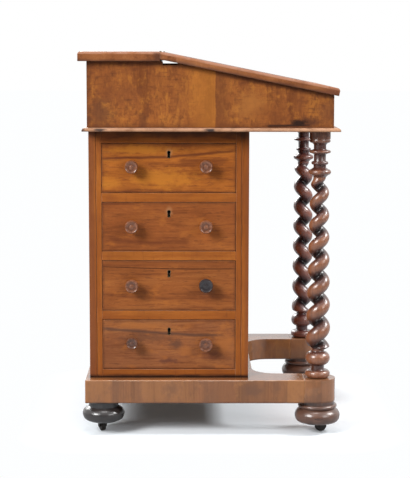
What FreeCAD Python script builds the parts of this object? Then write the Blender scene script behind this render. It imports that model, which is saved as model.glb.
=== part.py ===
import FreeCAD, Part
import math
import os

from FreeCAD import Vector

# A walnut davenport desk: a writing box with a sloping lid on a drawer pedestal and two twist columns,
# over a sledge base with bun feet on castors.
# Millimetres, +Z up, origin on the floor under the middle of the desk.
# The writer sits on the +X side and faces -X.
# The drawers open on the writer's left, towards -Y. The writer's right side has dummy drawer fronts.

# Driving dimensions of the whole desk
case_depth = 525.3
case_width = 540.0
case_back_height = 140.1
case_board = 14.0                   # thickness of the writing box's sides, back and front
base_height = 71.0                  # floor to the underside of the sledge base

# Sledge base, as wide as the writing box
base_thickness = 50.7
base_back_projection = 8.5          # behind the pedestal
base_front_projection = 11.0        # in front of the pedestal, at the back of the knee cut-out
base_front_reach = 12.2             # of the arms' ends in front of the writing box
base_arm_width = 72.0
base_rail_depth = 62.0
base_corner_radius = 55.0           # inner corners of the knee cut-out
arm_end_length = 69.0
arm_end_radius = 35.0

# Bun feet, as outlines from the bottom up: shares of the foot's radius and of its height
front_bun_radius = 49.5
rear_bun_radius = 46.0
front_foot_setback = 38.0           # from the front of the base to the middle of a front foot
rear_foot_setback = 38.0            # from the back of the base to the middle of a rear foot
front_foot_clearance = 21.0         # from the floor to the wood
rear_foot_clearance = 25.0
front_belly_shares = ((0.67, 0.0), (0.92, 0.11), (1.0, 0.35), (0.93, 0.54), (0.77, 0.68))
front_neck_shares = ((0.86, 0.77, 0.86), (0.74, 0.86), (0.74, 1.0))
rear_belly_shares = ((0.66, 0.0), (0.91, 0.13), (1.0, 0.39), (0.92, 0.58), (0.75, 0.70))
rear_neck_shares = ((0.70, 0.72), (0.70, 1.0))

# Castors, recessed in the feet
castor_wheel_radius = 13.0
castor_wheel_width = 10.0
castor_wheel_round = 2.0
castor_trail = 9.0                  # from the swivel axis to the axle
castor_axle_radius = 2.0
castor_boss_radius = 5.0
castor_cheek = 3.0
castor_cheek_gap = 0.5
castor_crown = 4.0
castor_crown_half = 7.0
castor_pintle_radius = 3.0
castor_rivet_radius = 4.8
castor_rivet = 1.5
castor_plate_radius = 20.0
castor_plate = 2.0
castor_recess_radius = 27.0
castor_height = 40.0                # from the floor to the top of the plate
castor_headings = {"front_left": 24.0, "front_right": -62.0, "rear_left": 112.0, "rear_right": -115.0}

# Twist columns: one tapering strand wound round the axis between turned ends; bottom values lead top ones
column_setback = 26.3               # from the front of the writing box to the column's axis
column_neck_radius = 13.5
column_ring_radius = 24.0           # widest turning of the top end
column_foot_radius = 27.3           # widest turning of the bottom end
column_cap_length = 99.4
column_base_length = 60.3
left_twist_pitches = (51.5, 47.0)
left_twist_strands = (17.9, 11.9)   # half the strand's thickness
left_twist_throws = (9.5, 8.2)      # from the column's axis to the middle of the strand
right_twist_pitches = (52.2, 48.0)
right_twist_strands = (16.3, 14.1)
right_twist_throws = (9.3, 8.6)
twist_run_outs = (9.0, 20.0)        # where the twist dies into the turned ends
twist_start_shares = (0.99, 0.193)  # of a turn, at the lower end of the left and the right twist
sections_per_turn = 10
section_points = 24
strand_steps = 24                   # tried along the strand to find its reach
# Outlines from the bottom up, as shares of the end's radius and length; where three stand, a bead's leads
column_base_shares = (
    (0.72, 0.0), (1.0, 0.56, 0.28), (0.52, 0.30), (0.52, 0.43), (0.56, 0.47), (0.98, 0.52, 0.97))
column_cap_shares = (
    (0.78, 0.05), (1.02, 0.80, 0.17), (0.56, 0.21), (0.56, 0.27), (0.76, 0.57, 0.345), (0.54, 0.36),
    (0.54, 0.49), (0.80, 0.525), (0.98, 0.80, 0.58), (0.55, 0.61), (0.55, 0.70), (0.72, 0.745),
    (0.93, 0.93, 0.80), (0.90, 0.83), (0.94, 0.83), (0.94, 1.0))

# Drawer pedestal
pedestal_depth = 347.0
pedestal_width = 461.0
pedestal_panel = 16.0
facing_strip = 12.0
opening_heights = (107.5, 107.5, 110.5, 110.5)   # top drawer first
rail_height = 20.0
top_rail_height = 27.2
bottom_rail_height = 16.5
rail_depth = 48.0
runner_ledge = 12.0                 # of a runner, under the drawer's side
guide_height = 18.0
dummy_panel = 18.0
dummy_front = 6.0

# Drawers
drawer_gap = 0.8                    # round a drawer front and beside the drawer
drawer_front = 20.0
drawer_back_gap = 13.0              # behind a drawer, to the dummy side
drawer_side = 9.0
drawer_side_drop = 9.0              # of the sides' top edge under the opening's top
drawer_back_drop = 8.0
drawer_bottom = 6.0
drawer_bottom_lift = 9.0
drawer_groove = 4.0
dovetail_count = 3
dovetail_lap = 6.0                  # wood left in front of the tails
dovetail_neck_share = 0.46          # of the tails' pitch, at the shoulder
dovetail_tip_share = 0.66           # of the tails' pitch, at the tip

# Knobs: a dished head on a neck, shares of the knob's radius and of its projection
knob_spacing = 161.0
knob_projection = 24.0
knob_spigot_radius = 4.5
knob_spigot = 15.0
knob_radii = ((14.5, 14.5), (14.5, 14.5), (14.5, 15.5), (12.5, 15.0))
knob_rises = ((3.5, 4.2), (1.4, 1.5), (0.9, 2.2), (6.0, 2.0))       # above the middle of the opening
knob_shares = ((0.56, 0.0), (0.45, 0.62, 0.50), (1.0, 0.86, 0.97), (0.42, 0.84), (0.24, 0.88), (0.0, 0.95))

# Locks with a thin keyhole lining
lock_width = 54.0
lock_height = 36.0
lock_thickness = 11.0
lock_case_inset = 2.0               # of the bolt's slot from the case's back
bolt_width = 16.0
bolt_thickness = 5.0
bolt_length = 18.0
bolt_travel = 7.0
bolt_clearance = 0.3
keyhole_drops = (20.0, 21.2, 24.8, 21.7)         # of a drawer's keyhole under the opening's top
keyhole_radius = 3.1
keyhole_slot = 3.4
keyhole_length = 14.0
keyhole_lining = 1.1
lid_keyhole_drop = 21.0

# Moulded bottom board of the writing box
bottom_board = 8.1
bottom_back_projection = 10.7
bottom_side_projection = 11.0
bottom_front_projection = 14.4
bottom_ovolo = 7.0

# Fixed top, lid and their hinges
top_thickness = 20.4
top_depth = 173.5
top_back_overhang = 18.0
top_side_overhang = 15.0
top_arris = 6.5
lid_slope = 11.4                    # degrees
lid_thickness = 16.2
lid_front_overhang = 11.8
lid_rail_width = 38.0
lid_joint_gap = 0.4
joint_bevel = 2.5
left_relief_start = 6.0             # gaps in the box's side walls next to the joint, from it to their starts
right_relief_start = -7.0
relief_end = 37.0
relief_depth = 28.0                 # under the top surface
leather_margin = 50.0
leather_thickness = 1.5
leather_sink = 0.2
hinge_length = 60.0
hinge_inset = 85.0                  # from the end of the top to the hinge's middle
hinge_leaf = 1.6
hinge_leaf_width = 13.0
hinge_barrel_radius = 2.4
hinge_pin_radius = 1.2
hinge_axis_drop = 1.2
hinge_knuckles = 5
strike_length = 44.0
strike_width = 13.0
strike_thickness = 1.5

# Till inside the writing box
till_depth = 135.0
till_board = 8.0
till_opening = 60.0
till_gap = 0.6
till_front = 9.0
till_side = 6.0
till_bottom = 4.0
till_knob_radius = 7.0
till_knob_projection = 12.0
till_spigot_radius = 2.5
till_spigot = 6.0

# Shared clearances and overruns
moving_clearance = 0.3
running_clearance = 0.05
overrun = 5.0                       # of every cutting body past the face that it cuts
face_tolerance = 0.01               # within which an edge lies in a face

# Places that follow from the driving dimensions
base_depth = base_back_projection + case_depth + base_front_reach
desk_depth = (top_back_overhang - base_back_projection + base_depth - front_foot_setback
              + front_bun_radius)
top_back_x = -desk_depth / 2
joint_x = top_back_x + top_depth
case_back_x = top_back_x + top_back_overhang
case_front_x = case_back_x + case_depth
case_inner_back_x = case_back_x + case_board
case_inner_front_x = case_front_x - case_board
case_half = case_width / 2
case_inner_half = case_half - case_board
top_half = case_half + top_side_overhang

base_back_x = case_back_x - base_back_projection
base_front_x = base_back_x + base_depth
arm_seam_x = base_front_x - arm_end_length
base_half = case_half
arm_inner_half = base_half - base_arm_width
arm_middle = base_half - base_arm_width / 2
pedestal_back_x = case_back_x
pedestal_front_x = pedestal_back_x + pedestal_depth
pedestal_half = pedestal_width / 2
cutout_x = pedestal_front_x + base_front_projection
front_foot_x = base_front_x - front_foot_setback
rear_foot_x = base_back_x + rear_foot_setback
column_x = case_front_x - column_setback

base_top_z = base_height + base_thickness
pedestal_height = (bottom_rail_height + sum(opening_heights) + (len(opening_heights) - 1) * rail_height
                   + top_rail_height)
pedestal_top_z = base_top_z + pedestal_height
case_floor_z = pedestal_top_z + bottom_board
case_top_z = case_floor_z + case_back_height
top_z = case_top_z + top_thickness

face_y = -pedestal_half
opening_back_x = pedestal_back_x + pedestal_panel + facing_strip
opening_front_x = pedestal_front_x - pedestal_panel - facing_strip
opening_middle_x = (opening_back_x + opening_front_x) / 2
dummy_panel_y = pedestal_half - dummy_panel
drawer_length = dummy_panel_y - drawer_back_gap - face_y

slope = math.radians(lid_slope)
lid_drop = lid_thickness / math.cos(slope)       # of the lid's underside under its top, measured upright
hinge_axis_z = top_z - hinge_axis_drop
hinge_middle_y = top_half - hinge_inset
foot_centres = {"front_left": (front_foot_x, -arm_middle), "front_right": (front_foot_x, arm_middle),
                "rear_left": (rear_foot_x, -arm_middle), "rear_right": (rear_foot_x, arm_middle)}

desk = {}


def opening_floors():
    """Height of each drawer opening's floor, top drawer first."""
    floors = []
    height = pedestal_top_z - top_rail_height
    for opening in opening_heights:
        height -= opening
        floors.append(height)
        height -= rail_height
    return floors


def lid_underside(x):
    """Height of the closed lid's underside at a place along the desk."""
    return top_z - lid_drop - (x - joint_x) * math.tan(slope)


def board(x0, x1, y0, y1, z0, z1):
    return Part.makeBox(x1 - x0, y1 - y0, z1 - z0, Vector(x0, y0, z0))


def side_prism(points, y0, y1):
    """Prism along Y over a closed outline of straight lines in X and Z."""
    corners = [Vector(x, y0, z) for x, z in points]
    outline = Part.makePolygon(corners + corners[:1])
    return Part.Face(outline).extrude(Vector(0, y1 - y0, 0))


def turned(edges):
    """Solid of revolution about Z from the edges of a half outline that starts and ends on the axis."""
    first = edges[0].firstVertex(True).Point
    last = edges[-1].lastVertex(True).Point
    closing = Part.LineSegment(last, first).toShape()
    return Part.Face(Part.Wire(edges + [closing])).revolve(Vector(0, 0, 0), Vector(0, 0, 1), 360)


def turned_stretch(start, entries):
    """Edges of a half outline: (radius, height) ends a line, (bead radius, radius, height) ends a bead."""
    edges = []
    here = Vector(start[0], 0, start[1])
    for entry in entries:
        there = Vector(entry[-2], 0, entry[-1])
        if len(entry) == 3:
            middle = Vector(entry[0], 0, (here.z + there.z) / 2)
            edges.append(Part.Arc(here, middle, there).toShape())
        else:
            edges.append(Part.LineSegment(here, there).toShape())
        here = there
    return edges


def scaled_outline(shares, radius, low, length):
    """Outline entries in millimetres from shares of a radius and a length."""
    return [tuple(share * radius for share in entry[:-1]) + (low + entry[-1] * length,) for entry in shares]


def both_sides(solid):
    """A solid and its mirror image across the desk's middle plane."""
    return [solid, solid.mirror(Vector(0, 0, 0), Vector(0, 1, 0))]


def round_upper_edges(solid, radius, is_kept):
    """Rounds the edges of a board's flat top for which the given test of an edge's middle is true."""
    top = solid.BoundBox.ZMax - face_tolerance
    edges = [edge for edge in solid.Edges if edge.CenterOfMass.z > top and is_kept(edge.CenterOfMass)]
    return solid.makeFillet(radius, edges)


# Sledge base: two arms with the knee cut-out's round corners and rounded end blocks, and two cross rails
def whole_arm():
    """The left arm in one length, with a rounded front end, before its end block is parted from it."""
    corner_x = cutout_x + base_corner_radius
    corner_y = arm_inner_half - base_corner_radius
    wide = board(base_back_x, corner_x, -base_half, -corner_y, base_height, base_top_z)
    narrow = board(cutout_x, base_front_x, -base_half, -arm_inner_half, base_height, base_top_z)
    end_x = base_front_x - face_tolerance
    front = [edge for edge in narrow.Edges
             if edge.BoundBox.XMin > end_x and edge.BoundBox.ZLength > base_thickness / 2]
    corner = Part.makeCylinder(base_corner_radius, base_thickness, Vector(corner_x, -corner_y, base_height))
    return wide.cut(corner).fuse(narrow.makeFillet(arm_end_radius, front)).removeSplitter()


rail_half = arm_inner_half - base_corner_radius
front_of_seam = board(arm_seam_x, base_front_x + overrun, -base_half - overrun, 0, base_height - overrun,
                      base_top_z + overrun)
desk["base_arms"] = both_sides(whole_arm().cut(front_of_seam))
desk["arm_end_blocks"] = both_sides(whole_arm().common(front_of_seam))
desk["base_cross_rails"] = [
    board(base_back_x, base_back_x + base_rail_depth, -rail_half, rail_half, base_height, base_top_z),
    board(cutout_x - base_rail_depth, cutout_x, -rail_half, rail_half, base_height, base_top_z)]


# Bun feet: a turned belly with a collar and a neck, bored from below for the castor
def bun_foot(radius, low, belly_shares, neck_shares):
    height = base_height - low
    belly = [Vector(share * radius, 0, low + rise * height) for share, rise in belly_shares]
    curve = Part.BSplineCurve()
    curve.interpolate(belly)
    underside = Part.LineSegment(Vector(0, 0, low), belly[0]).toShape()
    neck = turned_stretch((belly[-1].x, belly[-1].z), scaled_outline(neck_shares, radius, low, height))
    top = Part.LineSegment(neck[-1].lastVertex(True).Point, Vector(0, 0, base_height)).toShape()
    recess = Part.makeCylinder(castor_recess_radius, castor_height - low + overrun,
                               Vector(0, 0, low - overrun))
    return turned([underside, curve.toShape()] + neck + [top]).cut(recess)


def moved(solid, x, y, z=0.0):
    return solid.translated(Vector(x, y, z))


front_bun = bun_foot(front_bun_radius, front_foot_clearance, front_belly_shares, front_neck_shares)
rear_bun = bun_foot(rear_bun_radius, rear_foot_clearance, rear_belly_shares, rear_neck_shares)
desk["front_bun_feet"] = both_sides(moved(front_bun, front_foot_x, -arm_middle))
desk["rear_bun_feet"] = both_sides(moved(rear_bun, rear_foot_x, -arm_middle))

# Castors: a plate with a riveted pintle, a horn that swivels on it with its axle, and a wheel
plate_low_z = castor_height - castor_plate
crown_top_z = plate_low_z - moving_clearance
crown_low_z = crown_top_z - castor_crown
rivet_top_z = crown_low_z - moving_clearance
cheek_inner = castor_wheel_width / 2 + castor_cheek_gap
cheek_outer = cheek_inner + castor_cheek
horn_front = castor_trail + castor_boss_radius


def castor_plate_solid():
    disc = Part.makeCylinder(castor_plate_radius, castor_plate, Vector(0, 0, plate_low_z))
    pintle = Part.makeCylinder(castor_pintle_radius, plate_low_z - rivet_top_z, Vector(0, 0, rivet_top_z))
    rivet = Part.makeCylinder(castor_rivet_radius, castor_rivet, Vector(0, 0, rivet_top_z - castor_rivet))
    return disc.fuse([pintle, rivet]).removeSplitter()


def castor_cheek_solid(y0):
    axle_z = castor_wheel_radius
    top_back = Vector(-castor_crown_half, y0, crown_top_z)
    top_front = Vector(horn_front, y0, crown_top_z)
    boss_front = Vector(horn_front, y0, axle_z)
    boss_low = Vector(castor_trail, y0, axle_z - castor_boss_radius)
    boss_back = Vector(castor_trail - castor_boss_radius, y0, axle_z)
    crown_back = Vector(-castor_crown_half, y0, crown_low_z)
    outline = [Part.LineSegment(top_back, top_front), Part.LineSegment(top_front, boss_front),
               Part.Arc(boss_front, boss_low, boss_back), Part.LineSegment(boss_back, crown_back),
               Part.LineSegment(crown_back, top_back)]
    return Part.Face(Part.Wire([curve.toShape() for curve in outline])).extrude(Vector(0, castor_cheek, 0))


def castor_axle():
    return Part.makeCylinder(castor_axle_radius, 2 * cheek_outer,
                             Vector(castor_trail, -cheek_outer, castor_wheel_radius), Vector(0, 1, 0))


def castor_horn():
    crown = board(-castor_crown_half, horn_front, -cheek_outer, cheek_outer, crown_low_z, crown_top_z)
    eye = Part.makeCylinder(castor_pintle_radius + running_clearance, castor_crown + 2 * overrun,
                            Vector(0, 0, crown_low_z - overrun))
    yoke = crown.fuse([castor_cheek_solid(-cheek_outer), castor_cheek_solid(cheek_inner)]).removeSplitter()
    return yoke.cut(eye).cut(castor_axle())


def castor_wheel():
    low = -castor_wheel_width / 2
    rim = Part.makeCylinder(castor_wheel_radius, castor_wheel_width,
                            Vector(castor_trail, low, castor_wheel_radius), Vector(0, 1, 0))
    rounded = rim.makeFillet(castor_wheel_round, [edge for edge in rim.Edges if edge.Closed])
    bore = Part.makeCylinder(castor_axle_radius + running_clearance, castor_wheel_width + 2 * overrun,
                             Vector(castor_trail, low - overrun, castor_wheel_radius), Vector(0, 1, 0))
    return rounded.cut(bore)


desk["castor_plates"] = [moved(castor_plate_solid(), x, y) for x, y in foot_centres.values()]
for corner, (foot_x, foot_y) in foot_centres.items():
    heading = castor_headings[corner]
    placed = [moved(solid.rotated(Vector(0, 0, 0), Vector(0, 0, 1), heading), foot_x, foot_y)
              for solid in (castor_horn(), castor_axle(), castor_wheel())]
    desk[f"castor_horn_{corner}"] = placed[:2]
    desk[f"castor_wheel_{corner}"] = placed[2:]


# Twist columns: a round strand that winds round the axis, tapers and dies into the turned ends
def part_way(ends, rise):
    """Value at a share of the way from the first of two ends to the second."""
    return ends[0] + (ends[1] - ends[0]) * rise


def strand_reach(turn, strand, throw, climb):
    """Distance from the axis to the strand's skin, a turn away from its middle on the same level."""
    reach = 0
    for step in range(-strand_steps, strand_steps + 1):
        ahead = math.pi * step / strand_steps
        left_over = strand ** 2 - (climb * ahead) ** 2 - (throw * math.sin(turn - ahead)) ** 2
        if left_over > 0:
            reach = max(reach, throw * math.cos(turn - ahead) + math.sqrt(left_over))
    return reach


def twist_section(rise, low, length, start_share, pitches, strands, throws):
    """Level section of the strand at a share of the twist's length."""
    climb = part_way(pitches, rise) / (2 * math.pi)
    turns = length * rise / part_way(pitches, rise / 2)
    angle = 2 * math.pi * (start_share + turns)
    fade = min(1, rise * length / twist_run_outs[0], (1 - rise) * length / twist_run_outs[1])
    grown = fade * fade * (3 - 2 * fade)
    strand = column_neck_radius + (part_way(strands, rise) - column_neck_radius) * grown
    throw = grown * part_way(throws, rise)
    if not grown:
        return Part.Wire([Part.Circle(Vector(0, 0, low + rise * length), Vector(0, 0, 1), strand).toShape()])
    points = []
    for step in range(section_points):
        turn = 2 * math.pi * step / section_points
        away = (turn - angle + math.pi) % (2 * math.pi) - math.pi
        reach = strand_reach(away, strand, throw, climb)
        points.append(Vector(reach * math.cos(turn), reach * math.sin(turn), low + rise * length))
    curve = Part.BSplineCurve()
    curve.interpolate(points, True)
    return Part.Wire([curve.toShape()])


def twist_strand(low, high, start_share, pitches, strands, throws):
    """Ruled loft through the strand's sections, which wind right-handed on the way up."""
    length = high - low
    steps = round(length / part_way(pitches, 1 / 2) * sections_per_turn)
    return Part.makeLoft([twist_section(step / steps, low, length, start_share, pitches, strands, throws)
                          for step in range(steps + 1)], True, True)


def column(start_share, pitches, strands, throws):
    twist_low = base_top_z + column_base_length
    twist_high = pedestal_top_z - column_cap_length
    foot = scaled_outline(column_base_shares, column_foot_radius, base_top_z, column_base_length)
    cap = scaled_outline(column_cap_shares, column_ring_radius, twist_high, column_cap_length)
    foot_edges = turned_stretch((0, base_top_z), foot + [(column_neck_radius, twist_low), (0, twist_low)])
    cap_edges = turned_stretch((0, twist_high),
                               [(column_neck_radius, twist_high)] + cap + [(0, pedestal_top_z)])
    strand = twist_strand(twist_low, twist_high, start_share, pitches, strands, throws)
    return moved(strand.fuse([turned(foot_edges), turned(cap_edges)]), column_x, -arm_middle)


left_column = column(twist_start_shares[0], left_twist_pitches, left_twist_strands, left_twist_throws)
right_column = column(twist_start_shares[1], right_twist_pitches, right_twist_strands, right_twist_throws)
desk["column_left"] = [left_column]
desk["column_right"] = both_sides(right_column)[1:]


# Keyholes and locks
def keyhole(margin, y0, y1):
    """Keyhole-shaped prism along Y: a round head over a straight slot, round its head's middle."""
    radius = keyhole_radius + margin
    half_slot = keyhole_slot / 2 + margin
    low = keyhole_radius - keyhole_length - margin
    head = Part.makeCylinder(radius, y1 - y0, Vector(0, y0, 0), Vector(0, 1, 0))
    return head.fuse(board(-half_slot, half_slot, y0, y1, low, 0)).removeSplitter()


def keyhole_lining_solid(y0, y1):
    return keyhole(keyhole_lining, y0, y1).cut(keyhole(0, y0 - overrun, y1 + overrun))


def lock_bolt(margin, low, high, y0):
    """Bolt, or the slot for it: a flat bar whose back lies at the given place along Y."""
    half = bolt_width / 2 + margin
    return board(-half, half, y0 - margin, y0 + bolt_thickness + margin, low, high)


# Pedestal: two panels, facing strips and rails round the openings, runners with guides, dummy side
floors = opening_floors()
panel_back_x = pedestal_back_x + pedestal_panel
panel_front_x = pedestal_front_x - pedestal_panel
rail_back_y = face_y + rail_depth
lock_face_y = face_y + drawer_front - lock_thickness
bolt_y = lock_face_y + lock_case_inset

desk["pedestal_back_panel"] = [
    board(pedestal_back_x, panel_back_x, face_y, pedestal_half, base_top_z, pedestal_top_z)]
desk["pedestal_front_panel"] = [
    board(panel_front_x, pedestal_front_x, face_y, pedestal_half, base_top_z, pedestal_top_z)]
facing_strips = [
    board(panel_back_x, opening_back_x, face_y, rail_back_y, base_top_z, pedestal_top_z),
    board(opening_front_x, panel_front_x, face_y, rail_back_y, base_top_z, pedestal_top_z)]


def drawer_rail(low, high):
    return board(opening_back_x, opening_front_x, face_y, rail_back_y, low, high)


def bolt_mortise(rail_low):
    deep = bolt_travel + moving_clearance
    slot = lock_bolt(bolt_clearance, rail_low - overrun, rail_low + deep, bolt_y)
    return moved(slot, opening_middle_x, 0)


rails = [drawer_rail(base_top_z, floors[-1])]
for floor, opening in zip(floors, opening_heights):
    rail_low = floor + opening
    rail_high = pedestal_top_z if floor == floors[0] else rail_low + rail_height
    rails.append(drawer_rail(rail_low, rail_high).cut(bolt_mortise(rail_low)))
desk["drawer_face_frame"] = facing_strips + rails


def drawer_runner(floor, depth):
    """Runner under a drawer's side at the pedestal's back, with the guide that stands beside the drawer."""
    ledge_x = opening_back_x + runner_ledge
    ledge = board(panel_back_x, ledge_x, rail_back_y, dummy_panel_y, floor - depth, floor)
    guide = board(panel_back_x, opening_back_x, rail_back_y, dummy_panel_y, floor, floor + guide_height)
    return ledge.fuse(guide).removeSplitter()


runners = []
for floor in floors:
    depth = bottom_rail_height if floor == floors[-1] else rail_height
    runner = drawer_runner(floor, depth)
    runners += [runner, runner.mirror(Vector(opening_middle_x, 0, 0), Vector(1, 0, 0))]
desk["drawer_runners"] = runners


# Knobs: turned heads on a neck, with a spigot into the drawer front
def knob(radius, projection, spigot_radius, spigot):
    """Knob with its spigot, pointing towards -Y from the origin."""
    shank = [(spigot_radius, -spigot), (spigot_radius, 0)]
    outline = shank + scaled_outline(knob_shares, radius, 0, projection)
    return turned(turned_stretch((0, -spigot), outline)).rotated(Vector(0, 0, 0), Vector(1, 0, 0), 90)


def drawer_knobs(index):
    middle_z = floors[index] + opening_heights[index] / 2
    pair = []
    for side, radius, rise in zip((-1, 1), knob_radii[index], knob_rises[index]):
        solid = knob(radius, knob_projection, knob_spigot_radius, knob_spigot)
        pair.append(moved(solid, opening_middle_x + side * knob_spacing / 2, face_y, middle_z + rise))
    return pair


dummy_side = board(panel_back_x, panel_front_x, dummy_panel_y, pedestal_half, base_top_z, pedestal_top_z)
dummy_fronts = []
dummy_knobs = []
for index, (floor, opening) in enumerate(zip(floors, opening_heights)):
    pocket_y = pedestal_half - dummy_front
    pocket = board(opening_back_x, opening_front_x, pocket_y, pedestal_half + overrun,
                   floor, floor + opening)
    front = board(opening_back_x + drawer_gap, opening_front_x - drawer_gap, pocket_y, pedestal_half,
                  floor + drawer_gap, floor + opening - drawer_gap)
    knobs = [solid.mirror(Vector(0, 0, 0), Vector(0, 1, 0)) for solid in drawer_knobs(index)]
    dummy_side = dummy_side.cut(pocket).cut(knobs)
    dummy_fronts.append(front.cut(knobs))
    dummy_knobs += knobs
desk["dummy_side_panel"] = [dummy_side]
desk["dummy_drawer_fronts"] = dummy_fronts
desk["dummy_knobs"] = dummy_knobs


# Drawers: a front with lapped dovetails, two sides, a back and a grooved-in bottom, with knobs and a lock
def dovetails(x0, low, high, shoulder_y):
    """Tails of one drawer side, which widen towards the drawer's face."""
    pitch = (high - low) / dovetail_count
    tip_y = face_y + dovetail_lap
    tails = []
    for count in range(dovetail_count):
        middle = low + (count + 1 / 2) * pitch
        neck = pitch * dovetail_neck_share / 2
        tip = pitch * dovetail_tip_share / 2
        corners = [Vector(x0, shoulder_y, middle - neck), Vector(x0, tip_y, middle - tip),
                   Vector(x0, tip_y, middle + tip), Vector(x0, shoulder_y, middle + neck)]
        outline = Part.makePolygon(corners + corners[:1])
        tails.append(Part.Face(outline).extrude(Vector(drawer_side, 0, 0)))
    return tails


def add_drawer(index):
    name = f"drawer_{index + 1}"
    floor = floors[index]
    ceiling = floor + opening_heights[index]
    back_x = opening_back_x + drawer_gap
    front_x = opening_front_x - drawer_gap
    shoulder_y = face_y + drawer_front
    end_y = face_y + drawer_length
    side_top = ceiling - drawer_side_drop
    bottom_low = floor + drawer_bottom_lift
    bottom_high = bottom_low + drawer_bottom
    inner_back_x = back_x + drawer_side
    inner_front_x = front_x - drawer_side

    bottom = board(inner_back_x - drawer_groove, inner_front_x + drawer_groove, shoulder_y, end_y,
                   bottom_low, bottom_high)
    back = board(inner_back_x, inner_front_x, end_y - drawer_side, end_y,
                 bottom_high, side_top - drawer_back_drop)
    sides = []
    tails = []
    for side_x in (back_x, inner_front_x):
        plank = board(side_x, side_x + drawer_side, shoulder_y, end_y, floor, side_top)
        side_tails = dovetails(side_x, floor, side_top, shoulder_y)
        tails += side_tails
        sides.append(plank.cut(bottom).fuse(side_tails).removeSplitter())
    desk[f"{name}_box"] = sides + [back, bottom]

    lock_top = ceiling - drawer_gap
    key_z = ceiling - keyhole_drops[index]
    half_lock = lock_width / 2
    case = board(-half_lock, half_lock, lock_face_y, shoulder_y, lock_top - lock_height, lock_top)
    slot = lock_bolt(bolt_clearance, lock_top - bolt_length, lock_top + overrun, bolt_y)
    lining = moved(keyhole_lining_solid(face_y, lock_face_y), 0, 0, key_z)
    key_way = moved(keyhole(0, face_y - overrun, bolt_y + bolt_thickness), 0, 0, key_z)
    case_solid = moved(case.cut(slot).cut(key_way), opening_middle_x, 0)
    bolt = lock_bolt(0, lock_top - bolt_length, lock_top, bolt_y).cut(key_way)
    desk[f"{name}_lock"] = [case_solid, moved(lining, opening_middle_x, 0)]
    desk[f"{name}_lock_bolt"] = [moved(bolt, opening_middle_x, 0)]

    knobs = drawer_knobs(index)
    desk[f"{name}_knobs"] = knobs
    key_slot = moved(keyhole(keyhole_lining, face_y - overrun, lock_face_y + overrun),
                     opening_middle_x, 0, key_z)
    front = board(back_x, front_x, face_y, shoulder_y, floor + drawer_gap, ceiling - drawer_gap)
    desk[f"{name}_front"] = [front.cut(tails + knobs + [moved(case, opening_middle_x, 0), key_slot])]


for index in range(len(opening_heights)):
    add_drawer(index)


# Writing box: moulded bottom board, sides cut to the lid's slope, back and front boards between them
def case_side(relief_start):
    lid_start_x = joint_x + (lid_underside(joint_x) - case_top_z) / math.tan(slope)
    outline = [(case_back_x, case_floor_z), (case_front_x, case_floor_z),
               (case_front_x, lid_underside(case_front_x)), (lid_start_x, case_top_z),
               (case_back_x, case_top_z)]
    relief = board(joint_x + relief_start, joint_x + relief_end, -case_half - overrun,
                   -case_inner_half + overrun, top_z - relief_depth, top_z)
    return side_prism(outline, -case_half, -case_inner_half).cut(relief)


bottom_plate = board(case_back_x - bottom_back_projection, case_front_x + bottom_front_projection,
                     -case_half - bottom_side_projection, case_half + bottom_side_projection,
                     pedestal_top_z, case_floor_z)
desk["case_bottom_board"] = [round_upper_edges(bottom_plate, bottom_ovolo, lambda middle: True)]
desk["case_left_side"] = [case_side(left_relief_start)]
desk["case_right_side"] = both_sides(case_side(right_relief_start))[1:]
desk["case_back"] = [
    board(case_back_x, case_inner_back_x, -case_inner_half, case_inner_half, case_floor_z, case_top_z)]

# Lid lock: a case let into the front board from inside, its bolt and the keyhole lining
lid_lock_top = lid_underside(case_front_x)
lid_lock_depth = case_board - lock_case_inset - keyhole_lining
lid_bolt_x = case_inner_front_x + lid_lock_depth - lock_case_inset


def turned_to_front(solid):
    """A lock piece made facing -Y, turned to face the writer on +X."""
    return solid.rotated(Vector(0, 0, 0), Vector(0, 0, 1), 90)


lid_key_z = lid_lock_top - lid_keyhole_drop
front_outline = [(case_inner_front_x, case_floor_z), (case_front_x, case_floor_z),
                 (case_front_x, lid_underside(case_front_x)),
                 (case_inner_front_x, lid_underside(case_inner_front_x))]
lid_lock_x = case_inner_front_x + lid_lock_depth
lid_lock_case = board(case_inner_front_x, lid_lock_x, -lock_width / 2, lock_width / 2,
                      lid_lock_top - lock_height, lid_lock_top)
lid_bolt_y = -lid_bolt_x
lid_bolt_low = lid_lock_top - bolt_length
lid_bolt_slot = turned_to_front(lock_bolt(bolt_clearance, lid_bolt_low, lid_lock_top + overrun, lid_bolt_y))
lid_lock_well = board(case_inner_front_x - overrun, lid_lock_x, -lock_width / 2, lock_width / 2,
                      lid_lock_top - lock_height, top_z)
lid_key_way = moved(turned_to_front(keyhole(0, -case_front_x - overrun, lid_bolt_y)), 0, 0, lid_key_z)
lid_key_hole = keyhole(keyhole_lining, -case_front_x - overrun, -lid_lock_x + overrun)
lid_key_slot = moved(turned_to_front(lid_key_hole), 0, 0, lid_key_z)
lid_lining = moved(turned_to_front(keyhole_lining_solid(-case_front_x, -lid_lock_x)), 0, 0, lid_key_z)
lid_bolt = turned_to_front(lock_bolt(0, lid_bolt_low, lid_lock_top, lid_bolt_y))
front_board = side_prism(front_outline, -case_inner_half, case_inner_half)
desk["case_front"] = [front_board.cut([lid_lock_well, lid_key_slot])]
desk["lid_lock"] = [lid_lock_case.cut([lid_bolt_slot, lid_key_way]), lid_lining]
desk["lid_lock_bolt"] = [lid_bolt]


# Butt hinges in the joint of the fixed top and the lid
def along_hinge(radius, start, length):
    return Part.makeCylinder(radius, length, Vector(joint_x, start, hinge_axis_z), Vector(0, 1, 0))


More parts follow.
